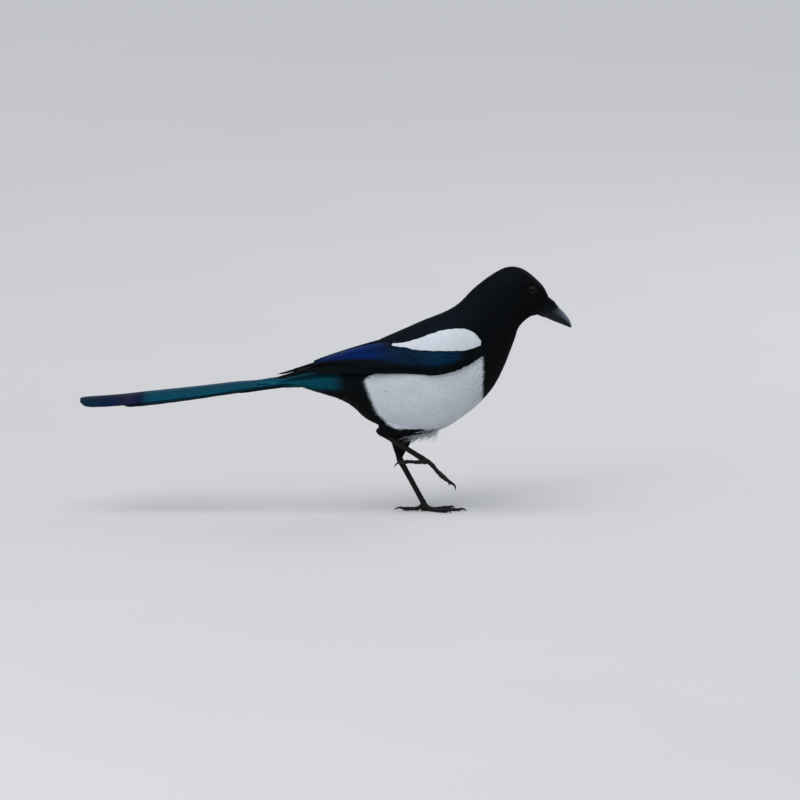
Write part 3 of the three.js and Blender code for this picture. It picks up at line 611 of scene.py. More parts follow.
def bodyCoat():
    plan = coatPlan
    crowd = lambda u, v: coatCrowd(u) * mix(1, plan["whiter"], whiteAt(bodyPoint(u, v)))
    span, step = (0, bodyEnd - 0.05), plan["step"]
    place, angle = scatterRoots(bodyPoint, span, (-180, 180), plan["count"], step, crowd, seed=3)
    n = len(place)
    roots = bodyPoint(place, angle)
    pale = whiteAt(roots)
    length = coatLength(place) * rng.uniform(0.82, 1.2, n) * mix(1, plan["longer"], pale)
    width = coatWidth(place) * rng.uniform(0.8, 1.2, n)
    down = 0.12 * np.sin(np.radians(angle)) * ease(3, 6, place) + 0.1 * softRandom(roots, 22, 5)
    yaw = down + np.radians(rng.normal(0, 1, n) * mix(*plan["yawNoise"], pale))
    loose = ease(126, 90, roots[:, 2]) * ease(5, 8, place)
    lift = mix(0.1, mix(0.3, 0.2, pale), loose) * rng.uniform(0.6, 1.2, n) * mix(0.5, 1, ease(0, 4, place))
    curl = mix(rng.uniform(-0.1, 0.16, n), -0.05, pale) * ease(2, 7, place)
    laid = layVanes(bodyPoint, place, angle, step, length, width, yaw, lift,
                    coatDepth(place) * plan["rootDepth"], curl, spread=mix(*plan["spread"], pale))
    middle = laid["columns"][:, :, 1]
    tip = middle[:, -1]
    keep = ~hiddenByWing(tip) & (tip[:, 0] > plan["rear"]) & (gapeDistance(middle[:, 2]) > plan["gape"])
    for left in (-1, 1):
        keep &= np.linalg.norm(middle - eyeCentre(left), axis=-1).min(axis=1) > eyePlan["bare"]
    nearby = middle + rng.normal(0, plan["ragged"], (n, 1, 3))
    # faint blue on the top of the back: partly the plumage's own gloss, partly a painted reflection of the
    # sky on the upper side
    backGlossAndSkySheen = 0.04 * ease(60, 20, nearby[:, :, 0]) * ease(110, 150, nearby[:, :, 2])
    batch = coloured(
        laid, white=whiteAt(nearby), gloss=0.9 * tealAt(nearby) + backGlossAndSkySheen,
        hue=np.clip(mix(0.05, 0.36, ease(-66, -50, roots[:, 0])) + 0.03 * rng.normal(size=n), 0, 1),
        tone=1 + rng.uniform(-1, 1, n) * mix(0.16, 0.025, pale), unwrap=bodyUnwrap(place, angle))
    return chosen(batch, keep), place[keep], angle[keep]


batch, place, angle = bodyCoat()
isWhite = batch["white"][:, 2] > 0.5
regions = {
    "coat_face": place < 1.6,
    "coat_crown": (place >= 1.6) & (place < 3),
    "coat_nape": (place >= 3) & (place < 5),
    "coat_breast": (place >= 5) & (place < 8) & ~isWhite,
    "coat_belly_left": (place >= 5) & isWhite & (angle > 0),
    "coat_belly_right": (place >= 5) & isWhite & (angle <= 0),
    "coat_back": (place >= 8) & ~isWhite & (np.abs(angle) < 90),
    "coat_vent": (place >= 8) & ~isWhite & (np.abs(angle) >= 90),
}
for name, part in regions.items():
    vaneMesh(name, chosen(batch, part), "white_plumage" if "belly" in name else "black_plumage")
print("body coat laid")

# Thighs: loose black feathers down to the ankle
thighPlan = {
    "shares": (0.02, 0.93), "count": 3200, "length": (11, 4.2), "width": (2.1, 1.3), "sink": 1.0,
    "step": (0.01, 2),
    "black": (75.4, 77),  # heights between which the white ends
    "stretch": 1.15,  # vanes that a bend of the surface stretches more are left out
}


def thighCoat(side):
    plan, thigh = thighPlan, thighSurface(legs[side])
    share, angle = scatterRoots(thigh, plan["shares"], (0, 360), plan["count"], plan["step"], seed=8)
    surface = lambda u, v: thigh(u, -v)  # turned so that its outer side is the upper one
    angle = -angle
    n = len(share)
    length = mix(*plan["length"], share) * rng.uniform(0.8, 1.2, n)
    pale = whiteAt(surface(share, angle))
    laid = layVanes(
        surface, share, angle, plan["step"], length * mix(1, 1.3, pale),
        mix(*plan["width"], share) * rng.uniform(0.8, 1.2, n), np.radians(rng.normal(0, 6, n)),
        rng.uniform(0.05, 0.25, n) + rng.uniform(0, 0.8, n) ** 3, plan["sink"], rng.uniform(-0.2, 0.1, n),
        spread=mix(0.3, 0.1, pale))
    middle = laid["columns"][:, :, 1]
    nearby = middle + rng.normal(0, coatPlan["ragged"], (n, 1, 3))
    batch = coloured(laid, white=whiteAt(nearby) * ease(*plan["black"], nearby[..., 2]),
                     tone=1 + rng.uniform(-1, 1, n) * mix(0.16, 0.025, pale),
                     unwrap=(inUnit(share), inUnit(angle % 360 / 360)))
    stretch = np.linalg.norm(middle[:, -1] - middle[:, 0], axis=-1) / laid["along"][:, -1]
    return chosen(batch, stretch < plan["stretch"])


for side in legs:
    vaneMesh(f"coat_thigh_{side}", thighCoat(side), "black_plumage")
print("thighs laid")

# Loose white feathers that hang free between the legs
loosePlan = {
    "places": (8.85, 9.65), "angles": (158, 204), "count": 420, "length": (5, 15), "width": 0.8,
    "yawNoise": 19, "lift": 9, "sink": 1.6, "curl": (-0.5, 1.5), "thick": 0.07, "spread": 0.2,
}


def looseCoat():
    plan, step = loosePlan, coatPlan["step"]
    place, angle = scatterRoots(bodyPoint, plan["places"], plan["angles"], plan["count"], step, seed=61)
    n = len(place)
    laid = layVanes(
        bodyPoint, place, angle, step, rng.uniform(*plan["length"], n),
        plan["width"] * rng.uniform(0.7, 1.3, n), np.radians(rng.normal(0, plan["yawNoise"], n)),
        0.5 + plan["lift"] * rng.uniform(0, 1, n) ** 2, plan["sink"], rng.uniform(*plan["curl"], n),
        plan["thick"], plan["spread"])
    return coloured(laid, white=1, tone=rng.uniform(0.9, 1.05, n), unwrap=bodyUnwrap(place, angle))


vaneMesh("belly_fringe", looseCoat(), "white_plumage")
print("loose feathers laid")

# The folded wing as a sheet: x, upper y and z, lower y and z, bulge
wingEdges = [
    [-136, 10.5, 120.8, 11.5, 118, 0],
    [-118, 6.5, 125.3, 13, 121.3, 0.6],
    [-101, 4.5, 130.4, 15.5, 126.2, 1.2],
    [-80, 4, 138.4, 19, 127.8, 2.4],
    [-58, 5, 145.8, 24.5, 128.4, 3.4],
    [-36, 10.5, 151.4, 30.5, 128.6, 3.8],
    [-14, 16.4, 155.8, 33.4, 128.4, 3.8],
    [8, 21.6, 159, 34.8, 127, 3.6],
    [28, 24, 160.5, 33.4, 130.6, 2.8],
    [42, 24.4, 158, 29.8, 137.3, 1.8],
    [52, 23.4, 153, 25.4, 143.2, 0.6],
]


def sheetThrough(edges):
    curve = curveThrough(edges)

    def flat(x, down):
        upperY, upperZ, lowerY, lowerZ, bulge = np.moveaxis(curve(x), -1, 0)
        length = np.hypot(lowerY - upperY, lowerZ - upperZ)
        out = bulge * 4 * down * (1 - down) / length
        return point(x, mix(upperY, lowerY, down) + out * (upperZ - lowerZ),
                     mix(upperZ, lowerZ, down) + out * (lowerY - upperY))

    def depth(x):
        upperY, upperZ, lowerY, lowerZ, _ = np.moveaxis(curve(x), -1, 0)
        return np.hypot(lowerY - upperY, lowerZ - upperZ)

    def place(x, down, height=0.0):
        along = flat(x + 1, down) - flat(x - 1, down)
        normal = unit(np.cross(along, flat(x, down + 0.02) - flat(x, down - 0.02)))
        normal = np.where(normal[..., 1:2] < 0, -normal, normal)
        return flat(x, down) + normal * np.asarray(height, float)[..., None]

    return place, depth


wingPoint, wingDepth = sheetThrough(wingEdges)

# Feathers of the folded wing, lowest tier first: roots and tips are [x, share of the way down] for
# the first and the last one, layer is their height and bow how much farther the middle ones reach.
wingTiers = {
    "primaries": {"count": 8, "width": 7.2, "layer": [-0.2, -0.6], "bow": [0.4, -31],
                  "roots": [[14, 0.62], [32, 0.92]], "tips": [[-104, 0.3], [-98, 0.94]]},
    "secondaries": {"count": 10, "width": 8.8, "layer": [1.2, 0.45], "bow": [0.3, -30],
                    "roots": [[0, 0.14], [22, 0.74]], "tips": [[-74, 0.13], [-60, 0.78]]},
    "primaryCoverts": {"count": 5, "width": 6.4, "layer": [0.45, 0.35], "bow": [0.5, -2],
                       "roots": [[41, 0.64], [42, 0.9]], "tips": [[-8, 0.72], [-4, 0.94]]},
    "greaterCoverts": {"count": 9, "width": 7.2, "layer": [1.8, 1.15], "bow": [0.5, -3],
                       "roots": [[26, 0.12], [36, 0.66]], "tips": [[-24, 0.12], [-6, 0.7]]},
    "medianCoverts": {"count": 8, "width": 6.4, "layer": [1.75, 1.2], "bow": [0.5, -3],
                      "roots": [[43, 0.22], [45, 0.84]], "tips": [[16, 0.12], [24, 0.86]]},
}
wingLook = {
    "rings": 26, "thick": 0.32, "lapped": 0.5, "ridge": 0.16, "coreEnd": -98, "coreDepth": 1.3,
    "even": 0.6,  # how far the gloss follows each feather's middle and not the place on the wing
    "tone": (0.85, 1.12),
}
wingGlossEdge = lineThrough([[-110, 0.12], [-74, 0.42], [-50, 0.54], [-21, 0.72], [0, 0.76], [20, 0.78],
                             [42, 0.6]])
featherWidth = lineThrough([[0, 0.5], [0.15, 0.78], [0.4, 0.95], [0.72, 1], [0.88, 0.9], [0.95, 0.7],
                            [0.985, 0.44], [1, 0.12]])
across = np.array([-1, -0.82, -0.5, -0.14, 0, 0.14, 0.5, 0.82, 1])
upperStrip, lowerStrip = (0, 0.58), (0.64, 0.96)  # shares of a feather's strip of the unwrap


def slab(upper, lower):
    # a closed slab between two equal grids of points
    rows, columns = upper.shape[:2]
    under = rows * columns
    corner = (rows - 1) * columns
    rim = [*range(columns - 1), *range(columns - 1, under - 1, columns)]
    rim = np.array(rim + [*range(under - 1, corner, -1), *range(corner, 0, -columns)])
    after = np.roll(rim, -1)
    sides = np.stack([after, rim, rim + under, after + under], axis=-1)
    faces = [gridFaces(rows, columns), gridFaces(rows, columns, first=under, flip=True), sides]
    return np.concatenate([upper.reshape(-1, 3), lower.reshape(-1, 3)]), np.concatenate(faces)


def shaftLine(width):
    return np.exp(-(across / width) ** 2)


def stripOf(n, total):
    return n / total * 0.98, (n + 1) / total * 0.98


def longFeather(upper, lower, along, length, offset, strip, gloss, hue, tone, under=None):
    # one long feather between two grids of points, with its colours and its strip of the unwrap
    points, faces = slab(upper, lower)
    u, v = np.broadcast_arrays(0.01 + 0.98 * along[:, None], (across + 1) / 2)
    uv = [np.stack([u, mix(mix(*strip, low), mix(*strip, high), v)], axis=-1)
          for low, high in (upperStrip, lowerStrip)]
    barb = point(along[:, None] * length, offset, 0).reshape(-1, 3)
    underGloss = gloss if under is None else np.full_like(gloss, under)
    return {
        "points": points, "faces": faces, "uv": np.concatenate(uv).reshape(-1, 2),
        "gloss": np.concatenate([gloss, underGloss]).ravel(), "hue": np.tile(hue.ravel(), 2),
        "tone": np.full(len(points), tone), "white": np.zeros(len(points)), "barb": np.tile(barb, (2, 1)),
    }


def coreSlab(places, downs, sheet, outer, inner, span=None, white=0):
    # what closes the gaps between feathers; it has one place on the unwrap
    x, down = np.meshgrid(places, downs, indexing="ij")
    if span is not None:
        down = mix(*span(x), down)
    points, faces = slab(sheet(x, down, outer(x, down)), sheet(x, down, inner(x, down)))
    level = np.ones(len(points))
    return {"points": points, "faces": faces, "uv": np.full((len(points), 2), 0.995), "white": white * level,
            "gloss": 0 * level, "hue": 0 * level, "tone": 0.8 * level, "barb": np.zeros((len(points), 3))}


def wingGloss(x, down):
    # blue on the upper feathers, black on the primaries, the front and the lower edge
    edge = wingGlossEdge(x)
    shade = mix(1, 0.36, ease(-60, -24, x)) + 0.14 * ease(-14, 16, x)
    covered = ease(-37, -27, x) * ease(0.28, 0.18, down)
    inside = ease(edge + 0.07, edge - 0.07, down) * ease(42, 22, x) * ease(-112, -92, x)
    return inside * shade * (1 - covered)


def wingHue(x, down):
    # bluer behind, greener in front
    return 0.5 - 0.21 * ease(-55, -10, x) - 0.03 * down


def wingFeather(tier, share, strip):
    look, (bowAt, bowBy) = wingLook, tier["bow"]
    reach = 1 - abs(share - bowAt) / max(bowAt, 1 - bowAt)
    root, tip = (mix(*np.array(tier[end], float), share) for end in ("roots", "tips"))
    tip[0] += bowBy * reach + rng.normal(0, 1.2)
    along = np.linspace(0, 1, look["rings"]) ** 0.9
    x, middle = (mix(root[i], tip[i], along)[:, None] for i in (0, 1))
    ripple = np.sin(along * rng.uniform(40, 70) + rng.uniform(0, 6)) * ease(0.5, 1, along)
    offset = across * (tier["width"] / 2 * featherWidth(along))[:, None] * (1 + 0.025 * ripple)[:, None]
    down = middle + offset / wingDepth(x)
    layer = mix(*tier["layer"], share) + mix(-0.9, 0, np.minimum(1, along * 2.2))[:, None]
    top = layer + across * look["lapped"] + look["ridge"] * shaftLine(0.1) - 0.12 * across ** 2
    free = np.clip((look["coreEnd"] - x) / 14 + 0.5, 0, 1)
    under = mix(-look["coreDepth"], top - look["thick"], free)
    x = np.broadcast_to(x, top.shape)
    webs = (1 - 0.3 * np.abs(across) ** 3) * (1 - 0.45 * shaftLine(0.07))
    gloss = wingGloss(x, mix(down, middle, look["even"])) * webs * rng.uniform(0.7, 1.0)
    hue = wingHue(x, down) + rng.normal(0, 0.035)
    upper, lower = wingPoint(x, down, top), wingPoint(x, down, under)
    return longFeather(upper, lower, along, abs(root[0] - tip[0]), offset, strip, gloss, hue,
                       rng.uniform(*look["tone"]))


def featherPiece(name, feathers, material, slot, *nodes, mirror=False):
    first = np.cumsum([0] + [len(feather["points"]) for feather in feathers])
    faces = np.concatenate([feather["faces"] + start for feather, start in zip(feathers, first)])
    keys = [key for key in feathers[0] if key != "faces"]
    joined = {key: np.concatenate([feather[key] for feather in feathers]) for key in keys}
    points, uv = joined.pop("points"), joined.pop("uv")
    if mirror:
        points, faces = points * [1, -1, 1], faces[:, ::-1]
    piece = makeMesh(name, points, [faces], joined, bake=uv[faces.ravel()])
    piece.data.set_sharp_from_angle(angle=math.radians(50))
    finishPiece(piece, material, slot, *nodes)


def wingFeathers():
    core = coreSlab(np.linspace(50.5, wingLook["coreEnd"], 40), np.linspace(0.06, 0.92, 14), wingPoint,
                    lambda x, down: -0.7 - 0.5 * (np.abs(down - 0.49) / 0.43) ** 4,
                    lambda x, down: mix(-1.7, -6, ease(-70, -20, x)))
    total = sum(tier["count"] for tier in wingTiers.values())
    feathers = [core]
    for tier in wingTiers.values():
        for n in range(tier["count"]):
            feathers.append(wingFeather(tier, n / (tier["count"] - 1), stripOf(len(feathers) - 1, total)))
    return feathers


glossPlumage = plumageMaterial("glossPlumage", "glossy")
for side in ("right", "left"):
    featherPiece(f"wing_feathers_{side}", wingFeathers(), glossPlumage, "wing_plumage", f"wing_{side}",
                 mirror=side == "right")
print("wings folded")


# White shoulder feathers and the black ones at the front of the wing, as small vanes
def wingOut(x, z):
    low, high = np.full_like(x, -0.15), np.ones_like(x)
    for _ in range(30):
        down = (low + high) / 2
        above = wingPoint(x, down)[..., 2] > z
        low, high = np.where(above, down, low), np.where(above, high, down)
    return wingPoint(x, low)[..., 1]


shoulderEdges = np.array([
    [-34, 150.4, 149.2, 0], [-18, 152.6, 149.2, 0.3], [-4, 156.8, 148.2, 0.8], [14, 164.6, 147.9, 1.6],
    [32, 168, 148.4, 1.6], [44, 165.2, 149.8, 0.9], [51, 158, 151.2, 0.3],
])


def makeShoulderSheet():
    x, top, bottom, bulge = shoulderEdges.T
    lift = np.clip((x + 34) / 40, 0.45, 1)
    rows = np.stack([x, wingOut(x, top) + lift, top, wingOut(x, bottom) + 2.4 * lift, bottom, bulge], axis=-1)
    return sheetThrough(rows)


shoulderPoint, _ = makeShoulderSheet()


shoulderPlan = {
    "x": (-22, 50), "end": -28.5, "count": 2900, "length": 12.5, "width": 1.9, "lift": 0.22, "white": 1,
    "core": (45.5, -15), "coreDepth": 1.7, "coreUnder": 0.5,
}
frontPlan = {
    "x": (18, 52), "end": -99, "count": 1300, "length": 7.5, "width": 2.6, "lift": 0.3, "white": 0,
    "height": 0.9, "span": (0.02, 0.96), "gloss": 0.5,
}


def sheetCoat(plan, sheet, height, span, seed, gloss=lambda x, down: 0):
    # small vanes that lie back along a sheet, no farther than its end
    step, white, end, (rear, front) = (0.5, 0.02), plan["white"], plan["end"], plan["x"]
    surface = lambda back, down: sheet(-back, down, height(-back, down))
    back, down = scatterRoots(surface, (-front, -rear), (0, 1), plan["count"], step, seed=seed)
    high, low = span(-back)
    inside = (down > high) & (down < low)
    back, down = back[inside], down[inside]
    n = len(back)
    length = np.minimum(plan["length"] * rng.uniform(0.8, 1.2, n), -back - end)
    width = plan["width"] * rng.uniform(0.8, 1.25, n) * mix(0.35, 1, ease(end, end + 26, -back))
    laid = layVanes(surface, back, down, step, length, width, np.radians(rng.normal(0, mix(6, 3, white), n)),
                    plan["lift"] * rng.uniform(0.7, 1.2, n), 0.9, rng.uniform(-0.1, 0.1, n),
                    spread=mix(0.4, 0.12, white))
    shine = gloss(laid["columns"][:, :, 1, 0], down[:, None] + 0 * laid["along"])
    return coloured(laid, white=white, gloss=shine, tone=1 + rng.uniform(-1, 1, n) * mix(0.12, 0.02, white),
                    unwrap=(inUnit((back + front) / (front - rear)), inUnit(down)))


def shoulderSpan(x):
    # the share of the shoulder's sheet that its white feathers cover
    high = mix(0.2, 0.6, ease(2, -22, x)) + 0.4 * ease(40, 54, x) ** 1.5
    return high, mix(0.97, 0.78, ease(2, -22, x)) - 0.1 * ease(44, 52, x)


def overWing(x, down):
    # the height over the shoulder's own sheet that clears the wing feathers under it
    return mix(mix(1.7, 0.5, down), mix(1.9, 1.3, down), ease(4, -24, x))


def mirrored(batch):
    flipped = {key: batch[key][:, :, ::-1] * [1, -1, 1] for key in ("columns", "shading")}
    return {**batch, **flipped}


for side in legs:
    white = sheetCoat(shoulderPlan, shoulderPoint, overWing, shoulderSpan, seed=21 + len(side))
    small = sheetCoat(frontPlan, wingPoint, lambda x, down: frontPlan["height"] + 0 * x,
                      lambda x: frontPlan["span"], seed=31 + len(side),
                      gloss=lambda x, down: frontPlan["gloss"] * wingGloss(x, down))
    if side == "right":
        white, small = mirrored(white), mirrored(small)
    vaneMesh(f"scapulars_{side}_coat", white, "white_plumage")
    vaneMesh(f"wing_coverts_{side}", small, "wing_plumage")
    under = coreSlab(np.linspace(*shoulderPlan["core"], 26), np.linspace(0.06, 0.9, 9), shoulderPoint,
                     lambda x, down: overWing(x, down) - shoulderPlan["coreUnder"],
                     lambda x, down: 0 * x - shoulderPlan["coreDepth"], shoulderSpan, white=1)
    featherPiece(f"scapulars_{side}_core", [under], softPlumage, "white_plumage", f"scapulars_{side}",
                 mirror=side == "right")
print("shoulders laid")


# The folded tail: its axis as [x, z], and six pairs of feathers, the middle pair on top. Each pair is
# how much shorter it is, how far out it lies and its width.
tailAxis = lineThrough([[-302.9, 100], [-270, 102.2], [-241, 105.4], [-197, 110], [-153, 115],
                        [-104.1, 117.2]])
tailPlan = {
    "start": -104.1, "length": 198.4, "roll": 10, "arch": 3.6, "layer": 0.6, "thick": 0.34, "ridge": 0.16,
    "rings": 54,
    "pairs": [[0, 2.0, 26.6], [36, 5.4, 25], [66, 4.6, 21.5], [92, 5, 18], [114, 5.6, 15], [138, 6, 13]],
    "sheen": [1, 0.16, 0.1, 0.08, 0.06, 0.06],
    "tone": (0.9, 1.1),
    "darkLine": (53, 5, 0.72),  # before the purple band: distance from the tip, width and depth
}
tailWidth = lineThrough([[0, 0.6], [0.16, 0.74], [0.42, 0.92], [0.72, 1], [0.93, 0.97], [0.975, 0.84],
                         [0.992, 0.6], [1, 0.3]])


def tailPoint(x, side, height):
    roll = np.radians(tailPlan["roll"]) * np.clip((tailPlan["start"] - x) / 60, 0, 1)
    arched = height - tailPlan["arch"] * (side / 16) ** 2
    return point(x, side * np.cos(roll) - arched * np.sin(roll),
                 tailAxis(x) + side * np.sin(roll) + arched * np.cos(roll))


def tailFeather(pair, n, left, strip):
    plan, (short, side, width) = tailPlan, pair
    along = np.linspace(0, 1, plan["rings"]) ** 0.85
    length = plan["length"] - short
    out = side * mix(0.3, 1, np.minimum(1, along * 1.2))[:, None]
    wave = 1 + 0.008 * np.sin(along * rng.uniform(60, 90) + rng.uniform(0, 6))[:, None]
    offset = across * width / 2 * tailWidth(along)[:, None] * wave
    layer = -plan["layer"] * n - (0.3 if left > 0 else 0)
    top = layer - 0.16 * across ** 2 + plan["ridge"] * shaftLine(0.09) + 0 * offset
    spread = left * out + offset
    x = np.broadcast_to((plan["start"] - length * along)[:, None], top.shape)
    toTip = x - plan["start"] + plan["length"]
    place, width, depth = plan["darkLine"]
    line = 1 - depth * np.exp(-((toTip - place) / width) ** 2)
    webs = (0.85 + 0.15 * np.abs(across)) * (1 - 0.4 * shaftLine(0.07))
    gloss = mix(0.3, 1.0, ease(22, 70, toTip)) * line * webs * plan["sheen"][n]
    hue = 0.08 + 0.82 * ease(58, 46, toTip) - 0.5 * ease(36, 26, toTip) - 0.22 * ease(20, 6, toTip)
    upper, lower = tailPoint(x, spread, top), tailPoint(x, spread, top - plan["thick"])
    return longFeather(upper, lower, along, length, offset, strip, gloss, hue, rng.uniform(*plan["tone"]),
                       under=0.06)


def tailFeathers():
    total = 2 * len(tailPlan["pairs"])
    return [tailFeather(pair, n, left, stripOf(2 * n + (left > 0), total))
            for n, pair in enumerate(tailPlan["pairs"]) for left in (-1, 1)]


featherPiece("tail_feathers", tailFeathers(), glossPlumage, "tail_plumage", "tail")
print("tail laid")

# Tail coverts over the root of the tail
covertPlan = {
    "back": (-8, 34), "count": 2400, "step": (0.4, 1.5), "length": (10, 17), "width": (2.2, 3.6),
    "yawNoise": 5, "lift": (0, 0.4), "sink": 0.9, "curl": (-0.2, 0.1), "hue": (0, 0.1), "tone": (0.85, 1.1),
}


def covertSurface(back, angle):
    fade = 1 - (np.clip(back, 0, 44) / 48) ** 1.6
    tall, wide = 5.4 * fade + 0.5, 9.4 * mix(0.6, 1, fade) + 0.6
    turn = np.radians(90 - angle)
    lower = mix(0.3, 1.2, ease(0, 24, back))
    return tailPoint(tailPlan["start"] - back, wide * np.cos(turn), tall * np.sin(turn) - lower)


def tailCoverts():
    plan, (first, last) = covertPlan, covertPlan["back"]
    draw = lambda key: rng.uniform(*plan[key], n)
    step = plan["step"]
    back, angle = scatterRoots(covertSurface, (first, last), (-180, 180), plan["count"], step, seed=14)
    n = len(back)
    laid = layVanes(covertSurface, back, angle, step, draw("length"), draw("width"),
                    np.radians(rng.normal(0, plan["yawNoise"], n)), draw("lift"), plan["sink"], draw("curl"))
    top = ease(-0.75, -0.15, np.cos(np.radians(angle)))[:, None]
    return coloured(laid, gloss=top, hue=draw("hue"), tone=draw("tone"),
                    unwrap=(inUnit((back - first) / (last - first)), inUnit((angle + 180) / 360)))


vaneMesh("tail_coverts", tailCoverts(), "tail_plumage")
print("tail coverts laid")


# Bill: three lines seen from the side, as [x, z] from base to tip, and half widths
billLines = {
    "culmen": [[110.9, 187.6], [115.3, 184], [119.7, 180.2], [124.1, 175.7], [127.5, 170.9], [129.8, 165.2]],
    "mouth": [[105.6, 181.4], [112.3, 177.4], [118, 173.9], [122.6, 170.5], [126.4, 167.2], [129.5, 163.6]],
    "gonys": [[101, 174.6], [108.2, 171.6], [113.5, 169.2], [118.6, 167.3], [123, 165.5], [127.6, 163.7]],
    "half": [6.2, 5.3, 4.3, 3.2, 2, 0.7],
}
culmen, mouthLine, gonys = (smoothPath(billLines[key]) for key in ("culmen", "mouth", "gonys"))
billHalf = lineThrough([[i / 5, half] for i, half in enumerate(billLines["half"])])
billShape = {"rings": 60, "around": 25, "round": 0.82, "keel": 0.16, "ledge": 0.12, "gap": 0.12}


def billShell(ridge, direction):
    # one half of the bill, from its ridge to the line of the mouth; direction is 1 for the upper one
    plan = billShape
    share = np.linspace(-0.06, 1, plan["rings"])[:, None]
    turn = np.linspace(0, np.pi, plan["around"])[None, :]
    edge, top = mouthLine(share), ridge(share)
    up = np.sin(turn) ** plan["round"]
    keel = 1 - plan["keel"] * np.sin(turn) ** 6 * ease(0.0, 0.4, share)
    ledge = sum(plan["ledge"] * np.exp(-((turn - place) / 0.14) ** 2) for place in (0.2, np.pi - 0.2))
    y = billHalf(share) * np.cos(turn) * keel * (1 - ledge)
    x, z = (mix(edge[..., i], top[..., i], up) for i in (0, 1))
    rings = point(x, y, z + direction * plan["gap"] * (1 - up))
    share, up = np.broadcast_arrays(share, up)
    points, faces = closedRings(rings if direction < 0 else rings[:, ::-1])
    return points, faces, {"toTip": np.append(share, [0.0, 1.0]), "ridge": np.append(up, [0.5, 0.5])}


hornLook = {
    "dark": (0.0025, 0.0035, 0.0038, 1),
    "grey": (0.02, 0.026, 0.034, 1),
    # pale: colour of the painted sky reflection on the upper bill, along its ridge towards the tip
    "pale": (0.17, 0.21, 0.3, 1),
    "upper": 0.42,
    "lower": 0.13,
    "rough": (0.22, 0.4),
    # how patchy the painted sky reflection on the upper bill is
    "paintedSkySheen": (0.6, 1.1),
}


def hornMaterial(name, paintedSheenTip):
    # black horn, and on the upper half of the bill a painted blue-grey reflection of the sky, paler along the
    # ridge towards the tip
    look = hornLook
    shine = look["upper"] if paintedSheenTip else look["lower"]
    material = newMaterial(name, Coat_Weight=0.06, Coat_Roughness=0.15, Specular_IOR_Level=shine)
    grain, cloud = noiseOf(material, 420.0, 4.0), noiseOf(material, 90.0, 2.0)
    colour = blendColour(material, 0.3, look["dark"], look["grey"])
    colour = blendColour(material, cloud, look["dark"], colour)
    if paintedSheenTip:
        # painted sky reflection: paler towards the tip and along the ridge
        toTip = mapped(material, attributeOf(material, "toTip"), 0.26, 0.6)
        ridge = mapped(material, attributeOf(material, "ridge"), 0.1, 0.9)
        paintedSkySheen = reckon(material, "MULTIPLY", toTip, ridge)
        paintedSkySheen = reckon(material, "MULTIPLY", paintedSkySheen, between(material, cloud, *look["paintedSkySheen"]))
        colour = blendColour(material, paintedSkySheen, colour, look["pale"])
    wire(material, "Base Color", colour)
    wire(material, "Roughness", between(material, grain, *look["rough"]))
    bumpOf(material, grain, 0.25, 0.00008)
    return material


for name, ridge, direction, horn, node in (
        ("billUpper", culmen, 1, hornMaterial("upperHorn", True), "bill_upper"),
        ("billLower", gonys, -1, hornMaterial("lowerHorn", False), "bill_lower")):
    finishPiece(makeMesh(name, *billShell(ridge, direction)), horn, "bill_horn", node)
print("bill made")


# Bristles lie forward over the base of the bill, and hide the nostrils
def overBill(share, turn, height, ridge):
    top, edge, half = ridge(share), mouthLine(share), billHalf(share)
    angle = np.radians(turn)
    up = np.cos(angle) * (1 + height / np.linalg.norm(top - edge, axis=-1))
    x, z = (mix(edge[..., i], top[..., i], up) for i in (0, 1))
    return point(x, (half + height) * np.sin(angle), z)


bristlePlan = {
    "upper": {"count": 1450, "from": (-0.24, 0.1), "length": (3.5, 8.2), "lift": (0.12, 0.5), "ruffle": 1.0},
    "lower": {"count": 760, "from": (-0.34, 0.03), "length": (2.4, 5.4), "lift": (0.12, 0.4), "ruffle": 0.0},
    "height": 0.12, "around": 88, "width": (0.28, 0.5), "yawNoise": 8, "sink": 0.2, "curl": (-0.2, 0.1),
    # tone lightens the black bristles at random up to five times: a painted sheen on the bristles
    "thick": 0.06, "tone": (1.0, 5.0), "step": (0.01, 2),
}


def bristleCoat(ridge, turnWay, half):
    plan, kind = bristlePlan, bristlePlan[half]
    n, around = kind["count"], plan["around"]
    surface = lambda share, turn: overBill(share, turnWay * turn, plan["height"], ridge)
    share = rng.uniform(*kind["from"], n)
    turn = rng.uniform(-around, around, n)
    length = rng.uniform(*kind["length"], n) * mix(1.0, 0.72, np.abs(turn) / around)
    ruffled = kind["ruffle"] * ease(0.06, -0.1, share) * np.cos(np.radians(turn)) ** 2
    laid = layVanes(surface, share, turn, plan["step"], length, rng.uniform(*plan["width"], n),
                    np.radians(rng.normal(0, plan["yawNoise"], n)), rng.uniform(*kind["lift"], n) + ruffled,
                    plan["sink"], rng.uniform(*plan["curl"], n), plan["thick"])
    unwrap = (share + (0.4 if turnWay < 0 else 0.85), inUnit((turn + around) / (2 * around)))
    return coloured(laid, unwrap, rng.uniform(*plan["tone"], n))


vaneMesh("nasal_bristles", bristleCoat(culmen, -1, "upper"), "black_plumage")
vaneMesh("chin_bristles", bristleCoat(gonys, 1, "lower"), "black_plumage")


# Eyes and lids
eyeLook = {
    "rings": 60, "around": 64, "cornea": 0.32, "pupil": (25.0, 27.0), "turnedOut": 0.15,
    "black": (0.001, 0.001, 0.001, 1),
    "brown": ((0.0015, 0.001, 0.0007, 1), (0.006, 0.0035, 0.002, 1)),
    "lid": ((0.0014, 0.0016, 0.0018, 1), (0.0034, 0.0034, 0.0038, 1)),
    "lidRings": (96, 16), "lidHeight": 0.3, "lidTilt": -0.4, "lidFlat": 0.55, "wrinkle": 0.07,
}


def eyeAim(left):
    facing = bodyFacing(*eyePlan["spot"])
    return unit(np.array([facing[0], left * (facing[1] + eyeLook["turnedOut"]), facing[2]]))


